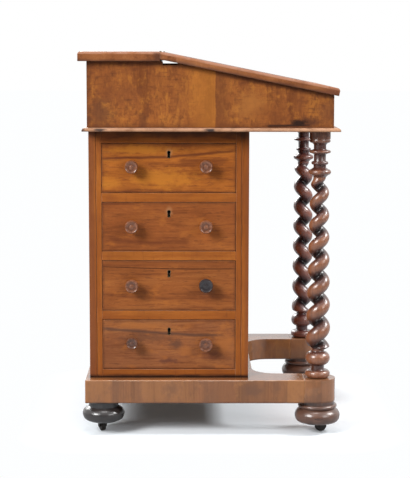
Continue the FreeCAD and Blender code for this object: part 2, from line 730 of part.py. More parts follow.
def hinge_leaf_solid(x0, own_first):
    """One leaf of the left hinge with its share of the knuckles."""
    low = -hinge_middle_y - hinge_length / 2
    knuckle = hinge_length / hinge_knuckles
    leaf = board(x0, x0 + hinge_leaf, low, low + hinge_length, hinge_axis_z - hinge_leaf_width, hinge_axis_z)
    for count in range(hinge_knuckles):
        start = low + count * knuckle
        if (count % 2 == 0) == own_first:
            leaf = leaf.fuse(along_hinge(hinge_barrel_radius, start, knuckle))
        else:
            leaf = leaf.cut(along_hinge(hinge_barrel_radius + moving_clearance, start - moving_clearance,
                                        knuckle + 2 * moving_clearance))
    bore = along_hinge(hinge_pin_radius + running_clearance, low - overrun, hinge_length + 2 * overrun)
    return leaf.cut(bore).removeSplitter()


def hinge_mortises(x0):
    """Room for the leaf and the barrel of each hinge in the wood on one side of the joint."""
    low = -hinge_middle_y - hinge_length / 2
    leaf = board(x0, x0 + hinge_leaf, low, low + hinge_length, hinge_axis_z - hinge_leaf_width, hinge_axis_z)
    barrel = along_hinge(hinge_barrel_radius + moving_clearance, low - moving_clearance,
                         hinge_length + 2 * moving_clearance)
    return both_sides(leaf) + both_sides(barrel)


fixed_leaf_x = joint_x - hinge_leaf
lid_leaf_x = joint_x + lid_joint_gap
hinge_pin = along_hinge(hinge_pin_radius, -hinge_middle_y - hinge_length / 2, hinge_length)
fixed_leaves = both_sides(hinge_leaf_solid(fixed_leaf_x, True))
desk["hinge_fixed_leaves_and_pins"] = fixed_leaves + both_sides(hinge_pin)
desk["hinge_lid_leaves"] = both_sides(hinge_leaf_solid(lid_leaf_x, False))

# Fixed top: rounded on its back and end edges, bevelled at the joint
bevel_low = top_z - joint_bevel
top_bevel = side_prism([(joint_x, bevel_low), (joint_x + overrun, bevel_low),
                        (joint_x + overrun, top_z + overrun),
                        (joint_x - joint_bevel - overrun, top_z + overrun)],
                       -top_half - overrun, top_half + overrun)
top_board = board(top_back_x, joint_x, -top_half, top_half, case_top_z, top_z)
top_rounded = round_upper_edges(top_board, top_arris, lambda middle: middle.x < joint_x - top_arris)
desk["fixed_top"] = [top_rounded.cut([top_bevel] + hinge_mortises(fixed_leaf_x))]


# Lid: a sloping board split into a hinge rail and a panel, with a leather writing surface and a strike plate
def sloped(solid):
    """A lid piece made level, from the joint along +X, laid to the lid's slope."""
    return solid.rotated(Vector(joint_x, 0, top_z), Vector(0, 1, 0), lid_slope)


lid_length = (case_front_x + lid_front_overhang - joint_x) / math.cos(slope)
lid_end_x = joint_x + lid_length
lid_seam_x = joint_x + lid_rail_width
lid_low_z = top_z - lid_thickness
lid_blank = round_upper_edges(
    board(joint_x - lid_thickness, lid_end_x, -top_half, top_half, lid_low_z, top_z), top_arris,
    lambda middle: middle.x > joint_x)
leather_low = top_z - leather_thickness - leather_sink
leather_half = top_half - leather_margin


def leather_layer(high):
    """The writing surface's space in the lid, from the bottom of its recess up to a given height."""
    return board(joint_x + leather_margin, lid_end_x - leather_margin, -leather_half, leather_half,
                 leather_low, high)


bolt_reach = lid_bolt_x - bolt_thickness / 2 - joint_x
strike_x = joint_x + bolt_reach * math.cos(slope) - lid_drop * math.sin(slope)
strike = sloped(board(strike_x - strike_width / 2, strike_x + strike_width / 2, -strike_length / 2,
                      strike_length / 2, lid_low_z, lid_low_z + strike_thickness))
bolt_top = lid_lock_top + bolt_travel + 2 * moving_clearance
lid_bolt_hole = turned_to_front(lock_bolt(bolt_clearance, lid_lock_top - overrun, bolt_top, lid_bolt_y))

behind_joint = board(joint_x - 2 * lid_thickness, joint_x + lid_joint_gap, -top_half - overrun,
                     top_half + overrun, lid_low_z - lid_thickness, top_z + lid_thickness)
lid_bevel_x = joint_x + lid_joint_gap
lid_bevel = side_prism([(lid_bevel_x, bevel_low), (lid_bevel_x + joint_bevel + overrun, top_z + overrun),
                        (lid_bevel_x - overrun, top_z + overrun), (lid_bevel_x - overrun, bevel_low)],
                       -top_half - overrun, top_half + overrun)
rail_half_space = board(joint_x - 2 * lid_thickness, lid_seam_x, -top_half - overrun, top_half + overrun,
                        lid_low_z - overrun, top_z + overrun)
lid_rail = sloped(lid_blank.common(rail_half_space))
lid_panel = sloped(lid_blank.cut([rail_half_space, leather_layer(top_z + overrun)]))
desk["lid_hinge_rail"] = [lid_rail.cut([behind_joint, lid_bevel] + hinge_mortises(lid_leaf_x))]
desk["lid_panel"] = [lid_panel.cut([strike, lid_bolt_hole])]
desk["writing_leather"] = [sloped(leather_layer(top_z - leather_sink))]
desk["lid_strike_plate"] = [strike.cut(lid_bolt_hole)]

# Till: a shelf on a divider at the back of the writing box, with a small drawer on each side
till_front_x = case_inner_back_x + till_depth
till_top_z = case_floor_z + till_opening
half_divider = till_board / 2
desk["till_shelf"] = [
    board(case_inner_back_x, till_front_x, -case_inner_half, case_inner_half,
          till_top_z, till_top_z + till_board),
    board(case_inner_back_x, till_front_x, -half_divider, half_divider, case_floor_z, till_top_z)]


def till_drawer():
    """The till drawer on the left, as its separate pieces: front, sides, back, bottom and knob."""
    y0 = -case_inner_half + till_gap
    y1 = -half_divider - till_gap
    back_x = case_inner_back_x + till_gap
    low = case_floor_z
    high = till_top_z - till_gap
    inner_x = till_front_x - till_front
    bottom_high = low + till_bottom
    middle_y = (y0 + y1) / 2
    small_knob = knob(till_knob_radius, till_knob_projection, till_spigot_radius, till_spigot)
    pull = moved(turned_to_front(small_knob), till_front_x, middle_y, (low + high) / 2)
    front = board(inner_x, till_front_x, y0, y1, low, high).cut(pull)
    sides = [board(back_x, inner_x, y, y + till_side, low, high) for y in (y0, y1 - till_side)]
    bottom = board(back_x, inner_x, y0 + till_side, y1 - till_side, low, bottom_high)
    back = board(back_x, back_x + till_side, y0 + till_side, y1 - till_side, bottom_high, high)
    return [front] + sides + [bottom, back, pull]


left_till = till_drawer()
desk["till_drawer_left"] = left_till
desk["till_drawer_right"] = [solid.mirror(Vector(0, 0, 0), Vector(0, 1, 0)) for solid in left_till]

# One file for each node, each solid tested
os.makedirs("parts", exist_ok=True)
for node, solids in desk.items():
    pieces = [piece for shape in solids for piece in shape.Solids]
    if len(pieces) != len(solids) or not all(piece.isValid() and piece.Volume > 0 for piece in pieces):
        raise ValueError(f"{node} isn't made of whole solids")
    shape = pieces[0] if len(pieces) == 1 else Part.makeCompound(pieces)
    shape.exportStep(f"parts/{node}.step")
print(len(desk), "nodes")
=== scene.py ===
import itertools
import math

import bmesh
import bpy
from mathutils import Matrix, Vector


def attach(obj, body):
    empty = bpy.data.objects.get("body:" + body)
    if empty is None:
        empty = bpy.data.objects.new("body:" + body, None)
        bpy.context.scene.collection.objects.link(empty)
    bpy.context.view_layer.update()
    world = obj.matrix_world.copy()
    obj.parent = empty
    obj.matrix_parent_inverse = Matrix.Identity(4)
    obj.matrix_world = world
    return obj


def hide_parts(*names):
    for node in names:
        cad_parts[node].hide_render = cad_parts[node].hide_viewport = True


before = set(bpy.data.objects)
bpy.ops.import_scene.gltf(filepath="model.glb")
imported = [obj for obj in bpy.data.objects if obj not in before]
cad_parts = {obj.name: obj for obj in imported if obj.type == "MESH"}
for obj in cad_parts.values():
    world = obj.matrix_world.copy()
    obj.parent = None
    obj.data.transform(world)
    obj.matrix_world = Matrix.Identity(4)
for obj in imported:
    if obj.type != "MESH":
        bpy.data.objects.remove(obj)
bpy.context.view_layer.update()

# Sledge base: two long arms joined by two cross rails, each arm lengthened by a block at its front.
# Walnut veneered across the grain in upright leaves of different tones; the joints are glued.
weld = 1e-6
flat_angle = math.radians(1.0)
fold_angle = math.radians(35.0)
base_arris = 0.0012
base_tones = ((0.185, 0.072, 0.028), (0.285, 0.114, 0.043), (0.35, 0.15, 0.06))
base_worn = (0.47, 0.27, 0.16)
base_orange = (0.45, 0.19, 0.06)
base_brown = (0.15, 0.068, 0.038)
base_red = (0.23, 0.08, 0.038)
base_pale = (0.34, 0.175, 0.105)
base_bottom_shade = (0.07, 0.03, 0.02)
pedestal_foot_shade_tone = (0.016, 0.009, 0.007)
base_top = 0.1217
pedestal_half = 0.2305
board_numbers = itertools.count(1)
start_steps, start_spans = (0.731, 0.417, 0.283), (2.0, 1.3, 1.1)


def shells_of(node):
    """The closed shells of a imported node, one for each board or fitting, as triangles of whole numbers."""
    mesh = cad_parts[node].data
    places = [tuple(round(value / weld) for value in vertex.co) for vertex in mesh.vertices]
    shells, shell, unpaired = [], [], set()
    for polygon in mesh.polygons:
        corners = [places[index] for index in polygon.vertices]
        if len(set(corners)) < len(corners):
            continue
        shell.append(corners)
        for start, end in zip(corners, corners[1:] + corners[:1]):
            if (end, start) in unpaired:
                unpaired.discard((end, start))
            else:
                unpaired.add((start, end))
        if not unpaired:
            shells.append(shell)
            shell = []
    return shells + ([shell] if shell else [])


def shaped(shell, arris=0.0):
    """One shell as a whole shape; with an arris, its flats are in one face each and its long edges eased."""
    shape = bmesh.new()
    corners = {}
    for triangle in shell:
        for place in triangle:
            if place not in corners:
                corners[place] = shape.verts.new([value * weld for value in place])
    for triangle in shell:
        points = [corners[place] for place in triangle]
        if not shape.faces.get(points):
            shape.faces.new(points)
    shape.normal_update()
    return eased(shape, arris) if arris else shape


def eased(shape, arris):
    """The shape with its flat faces joined up and its long sharp edges taken off by a small chamfer."""
    bmesh.ops.dissolve_limit(shape, angle_limit=flat_angle, use_dissolve_boundaries=False,
                             verts=shape.verts[:], edges=shape.edges[:])
    shape.normal_update()
    shortest = 6 * arris
    sharp = [edge for edge in shape.edges if len(edge.link_faces) == 2 and edge.is_convex
             and edge.calc_face_angle() > fold_angle and edge.calc_length() > shortest]
    bmesh.ops.bevel(shape, geom=sharp, offset=arris, offset_type="OFFSET", segments=1, profile=0.5,
                    affect="EDGES", clamp_overlap=False)
    shape.normal_update()
    return shape


def arris_shares(shape):
    """One for each narrow face between the main faces, such as a chamfer or a rounded edge, and else zero."""
    square, main, narrow = 0.985, 0.03, 0.0025
    facings = [tuple(round(value, 2) for value in face.normal) for face in shape.faces]
    areas = dict.fromkeys(facings, 0.0)
    for face, facing in zip(shape.faces, facings):
        areas[facing] += face.calc_area()
    whole = sum(areas.values())
    shares = []
    for face, facing in zip(shape.faces, facings):
        width = face.calc_area() / max(edge.calc_length() for edge in face.edges)
        square_on = max(abs(value) for value in face.normal) > square
        plain = square_on or width > narrow or areas[facing] > main * whole
        shares.append(0.0 if plain else 1.0)
    return shares


def grain_places(vertices, grain):
    """Each corner's place in its own board, along the grain and then across it, from a start of its own."""
    corners = [vertex.co for vertex in vertices]
    low = [min(values) for values in zip(*corners)]
    high = [max(values) for values in zip(*corners)]
    sides = [top - bottom for bottom, top in zip(low, high)]
    along = "XYZ".index(grain) if grain else sides.index(max(sides))
    order = (along, (along + 1) % 3, (along + 2) % 3)
    number = next(board_numbers)
    start = Vector([number * step % span for step, span in zip(start_steps, start_spans)])
    return [Vector([corner[axis] for axis in order]) + start for corner in corners]


def keep(mesh, name, values, kind="FLOAT", domain="POINT"):
    """Values kept on the mesh under a name, one number or one place for each of its points or faces."""
    layer = mesh.attributes.new(name, kind, domain).data
    if kind == "FLOAT":
        layer.foreach_set("value", values)
    else:
        layer.foreach_set("vector", [number for value in values for number in value])


def linked(name, data):
    """A new object in the scene."""
    thing = bpy.data.objects.new(name, data)
    bpy.context.scene.collection.objects.link(thing)
    return thing


def smoothed(mesh):
    """The mesh shaded smooth, apart from its folds."""
    mesh.shade_smooth()
    mesh.set_sharp_from_angle(angle=fold_angle)


def dress(piece, body, slot, *nodes):
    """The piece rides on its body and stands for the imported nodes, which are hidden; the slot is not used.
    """
    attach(piece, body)
    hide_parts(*nodes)


def mesh_of(name, shapes):
    """One new mesh of all the shapes, which are let go."""
    points, faces = [], []
    for shape in shapes:
        first = len(points)
        shape.verts.index_update()
        points += [vertex.co.copy() for vertex in shape.verts]
        faces += [[first + vertex.index for vertex in face.verts] for face in shape.faces]
        shape.free()
    mesh = bpy.data.meshes.new(name)
    mesh.from_pydata(points, [], faces)
    return mesh


def piece_of(node, shapes, material, body, slot, grain=None):
    """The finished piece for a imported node, made of these shapes, with its grain and its worn edges."""
    places = [place for shape in shapes for place in grain_places(shape.verts, grain)]
    worn = [share for shape in shapes for share in arris_shares(shape)]
    mesh = mesh_of(node + "_made", shapes)
    keep(mesh, "grain_place", places, "FLOAT_VECTOR")
    keep(mesh, "arris", worn, domain="FACE")
    mesh.materials.append(material)
    smoothed(mesh)
    dress(linked(node + "_made", mesh), body, slot, node)


def boards(node, arris, material, body, slot, grain=None):
    """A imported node's boards or fittings as one finished piece, with their long edges eased."""
    piece_of(node, [shaped(shell, arris) for shell in shells_of(node)], material, body, slot, grain)


class Value:
    """A result in a tree of nodes; a sum on it adds a node to the same tree and gives the next result."""

    def __init__(self, tree, socket):
        self.tree, self.socket = tree, socket

    def worked(self, operation, *others):
        """The result of one sum on this number and the others."""
        return made(self.tree, "ShaderNodeMath", dict(enumerate((self, *others))), operation=operation)

    def placed(self, operation, *others):
        """The result of one sum on this place and the others."""
        return made(self.tree, "ShaderNodeVectorMath", dict(enumerate((self, *others))), operation=operation)

    def length(self):
        """How far this place is from the origin."""
        return made(self.tree, "ShaderNodeVectorMath", {0: self}, "Value", operation="LENGTH")

    def size(self):
        """This number without its sign."""
        return self.worked("ABSOLUTE")

    def __add__(self, other):
        return self.worked("ADD", other)

    def __sub__(self, other):
        return self.worked("SUBTRACT", other)

    def __rsub__(self, other):
        return made(self.tree, "ShaderNodeMath", {0: other, 1: self}, operation="SUBTRACT")

    def __mul__(self, other):
        return self.worked("MULTIPLY", other)

    def __truediv__(self, other):
        return self.worked("DIVIDE", other)

    __radd__, __rmul__ = __add__, __mul__


def made(tree, kind, inputs=(), output=0, **settings):
    """One result of a new node with its settings, each input joined to a result or set to a value."""
    node = tree.nodes.new(kind)
    for name, value in settings.items():
        setattr(node, name, value)
    for key, value in dict(inputs).items():
        if isinstance(value, Value):
            tree.links.new(value.socket, node.inputs[key])
        else:
            node.inputs[key].default_value = value
    return Value(tree, node.outputs[output]) if node.outputs else node


def kept(tree, name, output="Fac"):
    """A value that the mesh keeps under a name."""
    return made(tree, "ShaderNodeAttribute", (), output, attribute_name=name)


def place_in_desk(tree):
    """The place in the desk, as it stands at rest."""
    return made(tree, "ShaderNodeTexCoord", (), "Object")


def measure(place, axis):
    """A place's measure along one axis."""
    return made(place.tree, "ShaderNodeSeparateXYZ", {0: place}, axis)


def clouds(place, scales, detail=2.0, rough=0.5):
    """Soft clouds from zero to one in a place stretched by the scales."""
    inputs = {"Vector": place.placed("MULTIPLY", scales), "Scale": 1.0, "Detail": detail, "Roughness": rough}
    return made(place.tree, "ShaderNodeTexNoise", inputs, "Fac")


def between(value, low, high, start=0.0, end=1.0, ease="SMOOTHSTEP"):
    """The value's place between low and high, eased at both ends, from start to end."""
    inputs = {"Value": value, "From Min": low, "From Max": high, "To Min": start, "To Max": end}
    return made(value.tree, "ShaderNodeMapRange", inputs, "Result", interpolation_type=ease)


def mixed(share, first, second):
    """The second colour laid over the first by the share."""
    first, second = [tone if isinstance(tone, Value) else (*tone, 1.0) for tone in (first, second)]
    return made(share.tree, "ShaderNodeMix", {0: share, 6: first, 7: second}, 2, data_type="RGBA")


def finish(name, shine, coat=0.0, haze=0.12, metallic=0.0):
    """A new material and its tree: the strength of its shine and of a hazy clear coat on it."""
    material = bpy.data.materials.new(name)
    material.use_nodes = True
    sockets = material.node_tree.nodes["Principled BSDF"].inputs
    levels = {"Specular IOR Level": shine, "Coat Weight": coat, "Coat Roughness": haze, "Metallic": metallic}
    for socket, level in levels.items():
        sockets[socket].default_value = level
    return material, material.node_tree


def surfaced(material, colour, dull, height, strength, depth, invert=False):
    """The material with its colour, its roughness and a fine relief of this strength and depth."""
    tree = material.node_tree
    relief = {"Strength": strength, "Distance": depth, "Height": height}
    bump = made(tree, "ShaderNodeBump", relief, "Normal", invert=invert)
    sockets = tree.nodes["Principled BSDF"].inputs
    for name, value in (("Base Color", colour), ("Roughness", dull), ("Normal", bump)):
        tree.links.new(value.socket, sockets[name])
    return material


def walnut(name, tones, worn, bands=(1.3, 24.0), sway=0.02, contrast=1.0, gloss=0.3, patina=0.35,
           shine=0.2, coat=0.0, haze=0.12, stain=None):
    """Polished walnut: broad bands, lines, fibres and pores along the grain, patina and worn pale edges."""
    material, tree = finish(name, shine, coat, haze)
    dark, middle, light = tones
    spot = place_in_desk(tree)
    place = kept(tree, "grain_place", "Vector")
    shift = clouds(place, (4.0, 11.0, 11.0), 3.0) * sway - sway / 2
    place = place.placed("ADD", made(tree, "ShaderNodeCombineXYZ", {"Y": shift, "Z": shift}))
    broad = clouds(place, (bands[0], bands[1], bands[1]), 3.0, 0.55)
    lines = clouds(place, (5.0, 260.0, 260.0), 3.0, 0.6)
    fibres = clouds(place, (26.0, 1300.0, 1300.0))
    pores = between(clouds(place, (60.0, 1900.0, 1900.0), 1.0), 0.6, 0.7)
    spread = 0.2 / contrast
    figure = between(broad * 0.62 + lines * 0.27 + fibres * 0.11, 0.5 - spread, 0.5 + spread)
    colour = mixed(between(figure, 0.0, 0.5), dark, middle)
    colour = mixed(between(figure, 0.5, 1.0), colour, light)
    blotch = clouds(spot, (9.0, 9.0, 9.0), 4.0, 0.6)
    aged = [value * 0.62 for value in middle]
    colour = mixed(between(blotch, 0.4, 0.72, 0.0, patina), colour, aged)
    filled = [value * 0.45 for value in dark]
    colour = mixed(pores * 0.3, colour, filled)
    rubbed = between(clouds(spot, (38.0, 38.0, 38.0), 3.0), 0.3, 0.62, 0.25, 0.85)
    colour = mixed(kept(tree, "arris") * rubbed, colour, worn)
    if stain:
        colour = stain(colour, spot)
    dull = blotch * 0.16 + lines * 0.06 + (gloss - 0.08)
    return surfaced(material, colour, dull, lines - pores * 0.6, 0.16, 0.0004)


def band(spot, ends, softness):
    """Share of an upright band between two places along the desk, with its own softness at each end."""
    x = measure(spot, "X") + clouds(spot, (30.0, 30.0, 12.0), 3.0) * 0.006 - 0.003
    return between(x, ends[0], ends[0] + softness[0]) * between(x, ends[1], ends[1] - softness[1])


def streak(spot, points, width):
    """Share of a streak along a line on an upright side, with a wavering width and soft ends."""
    x = measure(spot, "X")
    height = points[0][1]
    for (x0, z0), (x1, z1) in zip(points, points[1:]):
        height = between(x, x0, x1, 0.0, z1 - z0, "LINEAR") + height
    waver = clouds(spot, (24.0, 24.0, 60.0), 3.0) * width - width / 2
    share = between((measure(spot, "Z") - height + waver).size(), width, 0.0)
    first, last = points[0][0], points[-1][0]
    soft = 0.03 * abs(last - first) + 0.004
    return share * between(x, first - soft, first + soft) * between(x, last + soft, last - soft)


def patch(spot, middle, reach):
    """Share of a blotch on an upright side, with ragged soft edges."""
    away = spot.placed("SUBTRACT", (middle[0], 0.0, middle[1]))
    away = away.placed("MULTIPLY", (1.0 / reach[0], 0.0, 1.0 / reach[1])).length()
    ragged = clouds(spot, (60.0, 60.0, 90.0), 6.0, 0.7) * 2.4 - 1.2
    return between(away + ragged, 1.25, 0.25)


def pedestal_foot_shade_share(spot, ends, reach):
    """Share of the painted contact shade on the base along the foot of the pedestal's two drawer sides."""
    x, y, z = [measure(spot, axis) for axis in "XYZ"]
    share = between((y.size() - pedestal_half).size(), reach, 0.0)
    share = share * between(z, base_top - 0.002, base_top - 0.001)
    soft = 0.006
    return share * between(x, ends[0] - soft, ends[0]) * between(x, ends[1] + soft, ends[1])


def mottle(spot, scales, limits):
    """Share of the clouds, flecks or fine lines of a figured veneer, by their stretch and their number."""
    return between(clouds(spot, scales, 5.0, 0.62), *limits)


def marked(*marks):
    """Marks laid over the wood, stains and figure and on some boards painted shade: shape, place, size,
    colour and strength of each.
    """
    def stain(colour, spot):
        """The colour with the marks on it, one after another."""
        for shape, place, size, tone, strength in marks:
            colour = mixed(shape(spot, place, size) * strength, colour, tone)
        return colour
    return stain


base_leaves = marked(
    (band, (-0.28, -0.217), (0.002, 0.004), base_orange, 0.25),
    (band, (-0.217, -0.196), (0.003, 0.008), base_brown, 0.4),
    (band, (-0.152, -0.045), (0.004, 0.006), base_orange, 0.22),
    (streak, ((-0.046, 0.095), (-0.041, 0.074)), 0.016, base_brown, 0.4),
    (band, (-0.03, 0.06), (0.006, 0.01), base_red, 0.2),
    (band, (0.064, 0.126), (0.006, 0.012), base_brown, 0.25),
    (patch, (0.09, 0.1), (0.022, 0.016), base_brown, 0.6),
    (patch, (0.141, 0.106), (0.012, 0.018), base_brown, 0.45),
    (band, (0.163, 0.2035), (0.006, 0.001), base_orange, 0.45),
    (band, (0.2035, 0.29), (0.001, 0.004), base_pale, 0.3),
    (mottle, (24.0, 24.0, 18.0), (0.46, 0.7), base_brown, 0.5),
    (mottle, (30.0, 30.0, 24.0), (0.54, 0.74), base_orange, 0.45),
    (mottle, (150.0, 150.0, 50.0), (0.54, 0.76), base_brown, 0.4),
    (mottle, (70.0, 70.0, 230.0), (0.58, 0.76), base_brown, 0.3),
    # Painted shade along the bottom edge of the arms and over the underside of the base.
    (streak, ((-0.29, 0.0715), (0.29, 0.0715)), 0.0045, base_bottom_shade, 0.6),
    # Painted contact shade on the base top where the pedestal stands on it.
    (pedestal_foot_shade_share, (-0.2652, 0.0812), 0.03, pedestal_foot_shade_tone, 0.95),
)
base_walnut = walnut("base_walnut", base_tones, base_worn, bands=(1.5, 26.0), contrast=0.8, gloss=0.15,
                     patina=0.45, shine=0.4, coat=0.35, stain=base_leaves)
for node in ("base_arms", "arm_end_blocks", "base_cross_rails"):
    boards(node, base_arris, base_walnut, "carcase", "walnut_base", "Z")

# Bun feet: four turned walnut balls, the front pair larger, collared and browner, the rear pair nearly black.
# Each is doweled up into an arm and bored out below for its castor.
around = 64
arc_steps = 8
foot_top = 0.071
recess = (0.027, 0.04)
feet = (
    ("front_bun_feet", 0.234, 0.0495, 0.021,
     ((0.67, 0.0), (0.92, 0.11), (1.0, 0.35), (0.93, 0.54), (0.77, 0.68)),
     ((0.86, 0.77, 0.86), (0.74, 0.86), (0.74, 1.0)),
     ((0.03, 0.014, 0.01), (0.085, 0.039, 0.026), (0.15, 0.072, 0.048))),
    ("rear_bun_feet", -0.236, 0.046, 0.025,
     ((0.66, 0.0), (0.91, 0.13), (1.0, 0.39), (0.92, 0.58), (0.75, 0.7)),
     ((0.7, 0.72), (0.7, 1.0)),
     ((0.008, 0.007, 0.007), (0.018, 0.015, 0.015), (0.036, 0.029, 0.028))),
)
arm_middle = 0.234


def arc(start, bulge, end):
    """Points on the round through three outline points, after the first."""
    (x1, y1), (x2, y2), (x3, y3) = start, bulge, end
    spread = 2 * (x1 * (y2 - y3) + x2 * (y3 - y1) + x3 * (y1 - y2))
    one, two, three = x1 * x1 + y1 * y1, x2 * x2 + y2 * y2, x3 * x3 + y3 * y3
    x = (one * (y2 - y3) + two * (y3 - y1) + three * (y1 - y2)) / spread
    y = (one * (x3 - x2) + two * (x1 - x3) + three * (x2 - x1)) / spread
    radius = math.hypot(x1 - x, y1 - y)
    first = math.atan2(y1 - y, x1 - x)
    middle = (math.atan2(y2 - y, x2 - x) - first) % math.tau
    sweep = (math.atan2(y3 - y, x3 - x) - first) % math.tau
    if middle > sweep:
        sweep -= math.tau
    turns = [first + sweep * step / arc_steps for step in range(1, arc_steps + 1)]
    return [(x + radius * math.cos(turn), y + radius * math.sin(turn)) for turn in turns]


def turned_outline(shares, radius, low, height, start=()):
    """A turner's outline as (radius, height) points; three numbers are a bead and the share at its end."""
    outline = list(start)
    for share in shares:
        end = (share[-2] * radius, low + share[-1] * height)
        if len(share) == 2:
            outline.append(end)
        else:
            bulge = (share[0] * radius, (outline[-1][1] + end[1]) / 2)
            outline += arc(outline[-1], bulge, end)
    return outline


def swelling(points):
    """An even curve through the points of an outline, never wider than its widest point."""
    widest = max(radius for radius, height in points)
    before = [2 * first - second for first, second in zip(points[0], points[1])]
    after = [2 * last - second for last, second in zip(points[-1], points[-2])]
    places = [before, *points, after]
    curve = [points[0]]
    for four in zip(places, places[1:], places[2:], places[3:]):
        for step in range(1, arc_steps + 1):
            t = step / arc_steps
            weights = (2 * t ** 2 - t ** 3 - t, 3 * t ** 3 - 5 * t ** 2 + 2,
                       4 * t ** 2 - 3 * t ** 3 + t, t ** 3 - t ** 2)
            radius, height = [sum(w * v for w, v in zip(weights, values)) / 2 for values in zip(*four)]
            curve.append((min(radius, widest), height))
    return curve


def turned(outline, middle=(0.0, 0.0)):
    """A turned shape round an upright line; an end whose radius isn't zero is left open."""
    shape = bmesh.new()
    x, y = middle
    rings = []
    for radius, height in outline:
        count = around if radius else 1
        turns = [math.tau * step / count for step in range(count)]
        ring = [(x + radius * math.cos(turn), y + radius * math.sin(turn), height) for turn in turns]
        rings.append([shape.verts.new(point) for point in ring])
    for lower, upper in zip(rings, rings[1:]):
        for step in range(around):
            following = (step + 1) % around
            if len(lower) == 1:
                shape.faces.new((lower[0], upper[following], upper[step]))
            elif len(upper) == 1:
                shape.faces.new((lower[step], lower[following], upper[0]))
            else:
                shape.faces.new((lower[step], lower[following], upper[following], upper[step]))
    shape.normal_update()
    return shape


for node, foot_x, radius, low, belly_shares, neck_shares, tones in feet:
    height = foot_top - low
    belly = swelling([(share * radius, low + rise * height) for share, rise in belly_shares])
    bored = [(0.0, recess[1]), (recess[0], recess[1]), (recess[0], low)]
    outline = turned_outline(neck_shares, radius, low, height, bored + belly) + [(0.0, foot_top)]
    foot_walnut = walnut(node.replace("feet", "walnut"), tones, tones[2], bands=(6.0, 30.0), gloss=0.2,
                         patina=0.5, shine=0.5, coat=0.6, haze=0.32)
    shapes = [turned(outline, (foot_x, side * arm_middle)) for side in (-1, 1)]
    piece_of(node, shapes, foot_walnut, "carcase", "walnut_black", "Z")

# Castors: an iron plate screwed in each foot's recess, a swivelling horn and a wheel on its axle.
# Cast and turned iron with a dull dark skin; each wheel rolls and each horn swivels.
corners = ("front_left", "front_right", "rear_left", "rear_right")


def old_metal(name, tone, stain, metallic, gloss, shading=None):
    """Metal gone dull with age: its tone, darker stains, fine scratches, an uneven polish and any painted
    shading.
    """
    material, tree = finish(name, 0.5, metallic=metallic)
    spot = place_in_desk(tree)
    cloud = clouds(spot, (70.0, 70.0, 70.0), 4.0, 0.6)
    grit = clouds(spot, (900.0, 900.0, 900.0))
    colour = mixed(between(cloud, 0.36, 0.66), tone, stain)
    if shading:
        colour = shading(colour, spot)
    return surfaced(material, colour, cloud * 0.3 + (gloss - 0.15), grit, 0.12, 0.0003)


dull_iron = old_metal("dull_iron", (0.06, 0.055, 0.052), (0.03, 0.022, 0.018), 0.7, 0.5)
metal_arris = 0.0003
boards("castor_plates", metal_arris, dull_iron, "carcase", "castor_iron")
for corner in corners:
    boards("castor_horn_" + corner, 0.0, dull_iron, "castor_" + corner, "castor_iron")
    boards("castor_wheel_" + corner, 0.0, dull_iron, "wheel_" + corner, "castor_iron")

# Columns: two turned barley-twist pillars that wind opposite ways, dark stained walnut.
# One round strand is cut round each axis; its ends are turned rings doweled into the arm and the writing box.
twist_low, twist_high = 0.182, 0.562
neck_radius = 0.0135
column_x = 0.2335
column_ends = (0.1217, 0.6614)
column_radii = (0.0273, 0.024)
column_base_shares = (
    (0.72, 0.0), (1.0, 0.56, 0.28), (0.52, 0.3), (0.52, 0.43), (0.56, 0.47), (0.98, 0.52, 0.97))
column_cap_shares = (
    (0.78, 0.05), (1.02, 0.8, 0.17), (0.56, 0.21), (0.56, 0.27), (0.76, 0.57, 0.345), (0.54, 0.36),
    (0.54, 0.49), (0.8, 0.525), (0.98, 0.8, 0.58), (0.55, 0.61), (0.55, 0.7), (0.72, 0.745),
    (0.93, 0.93, 0.8), (0.9, 0.83), (0.94, 0.83), (0.94, 1.0))
both_twists = {"Length": twist_high - twist_low, "Neck": neck_radius, "Foot Run": 0.009, "Head Run": 0.02,
               "Around": around, "Rows": 320}
twists = {
    "column_left": {"Hand": 1.0, "Start": 0.99, "Foot Pitch": 0.0515, "Head Pitch": 0.047,
                    "Foot Strand": 0.0179, "Head Strand": 0.0119, "Foot Throw": 0.0095, "Head Throw": 0.0082},
    "column_right": {"Hand": -1.0, "Start": 0.193, "Foot Pitch": 0.0522, "Head Pitch": 0.048,
                     "Foot Strand": 0.0163, "Head Strand": 0.0141, "Foot Throw": 0.0093,
                     "Head Throw": 0.0086},
}
ahead_steps, ahead_step = 8, 0.3
reach_repeats = 2
least_crest = 0.35


def new_tree(name, sockets):
    """A tree of geometry nodes with these kinds of named inputs and one output, and its inputs' values."""
    tree = bpy.data.node_groups.new(name, "GeometryNodeTree")
    for socket, kind in sockets.items():
        tree.interface.new_socket(name=socket, in_out="INPUT", socket_type="NodeSocket" + kind)
    tree.interface.new_socket(name="Geometry", in_out="OUTPUT", socket_type="NodeSocketGeometry")
    outputs = tree.nodes.new("NodeGroupInput").outputs
    return tree, {socket: Value(tree, outputs[socket]) for socket in sockets}


def stored(geometry, name, value, kind):
    """The geometry with a value kept at its points under a name."""
    inputs = {"Geometry": geometry, "Name": name, "Value": value}
    return made(geometry.tree, "GeometryNodeStoreNamedAttribute", inputs, data_type=kind, domain="POINT")


def realized(geometry):
    """The geometry as one plain mesh."""
    return made(geometry.tree, "GeometryNodeRealizeInstances", {"Geometry": geometry})


def given_out(geometry, material):
    """The tree, which gives out this geometry in this material."""
    covered = made(geometry.tree, "GeometryNodeSetMaterial", {"Geometry": geometry, "Material": material})
    made(geometry.tree, "NodeGroupOutput", {0: covered})
    return geometry.tree


def grown_mesh(host, tree, values):
    """The plain mesh that a tree makes from its host, with the tree's named inputs set first."""
    modifier = host.modifiers.new(tree.name, "NODES")
    modifier.node_group = tree
    for item in tree.interface.items_tree:
        if item.in_out == "INPUT" and item.name in values:
            modifier[item.identifier] = values[item.name]
    bpy.context.view_layer.update()
    mesh = bpy.data.meshes.new_from_object(host.evaluated_get(bpy.context.evaluated_depsgraph_get()))
    host.modifiers.remove(modifier)
    return mesh


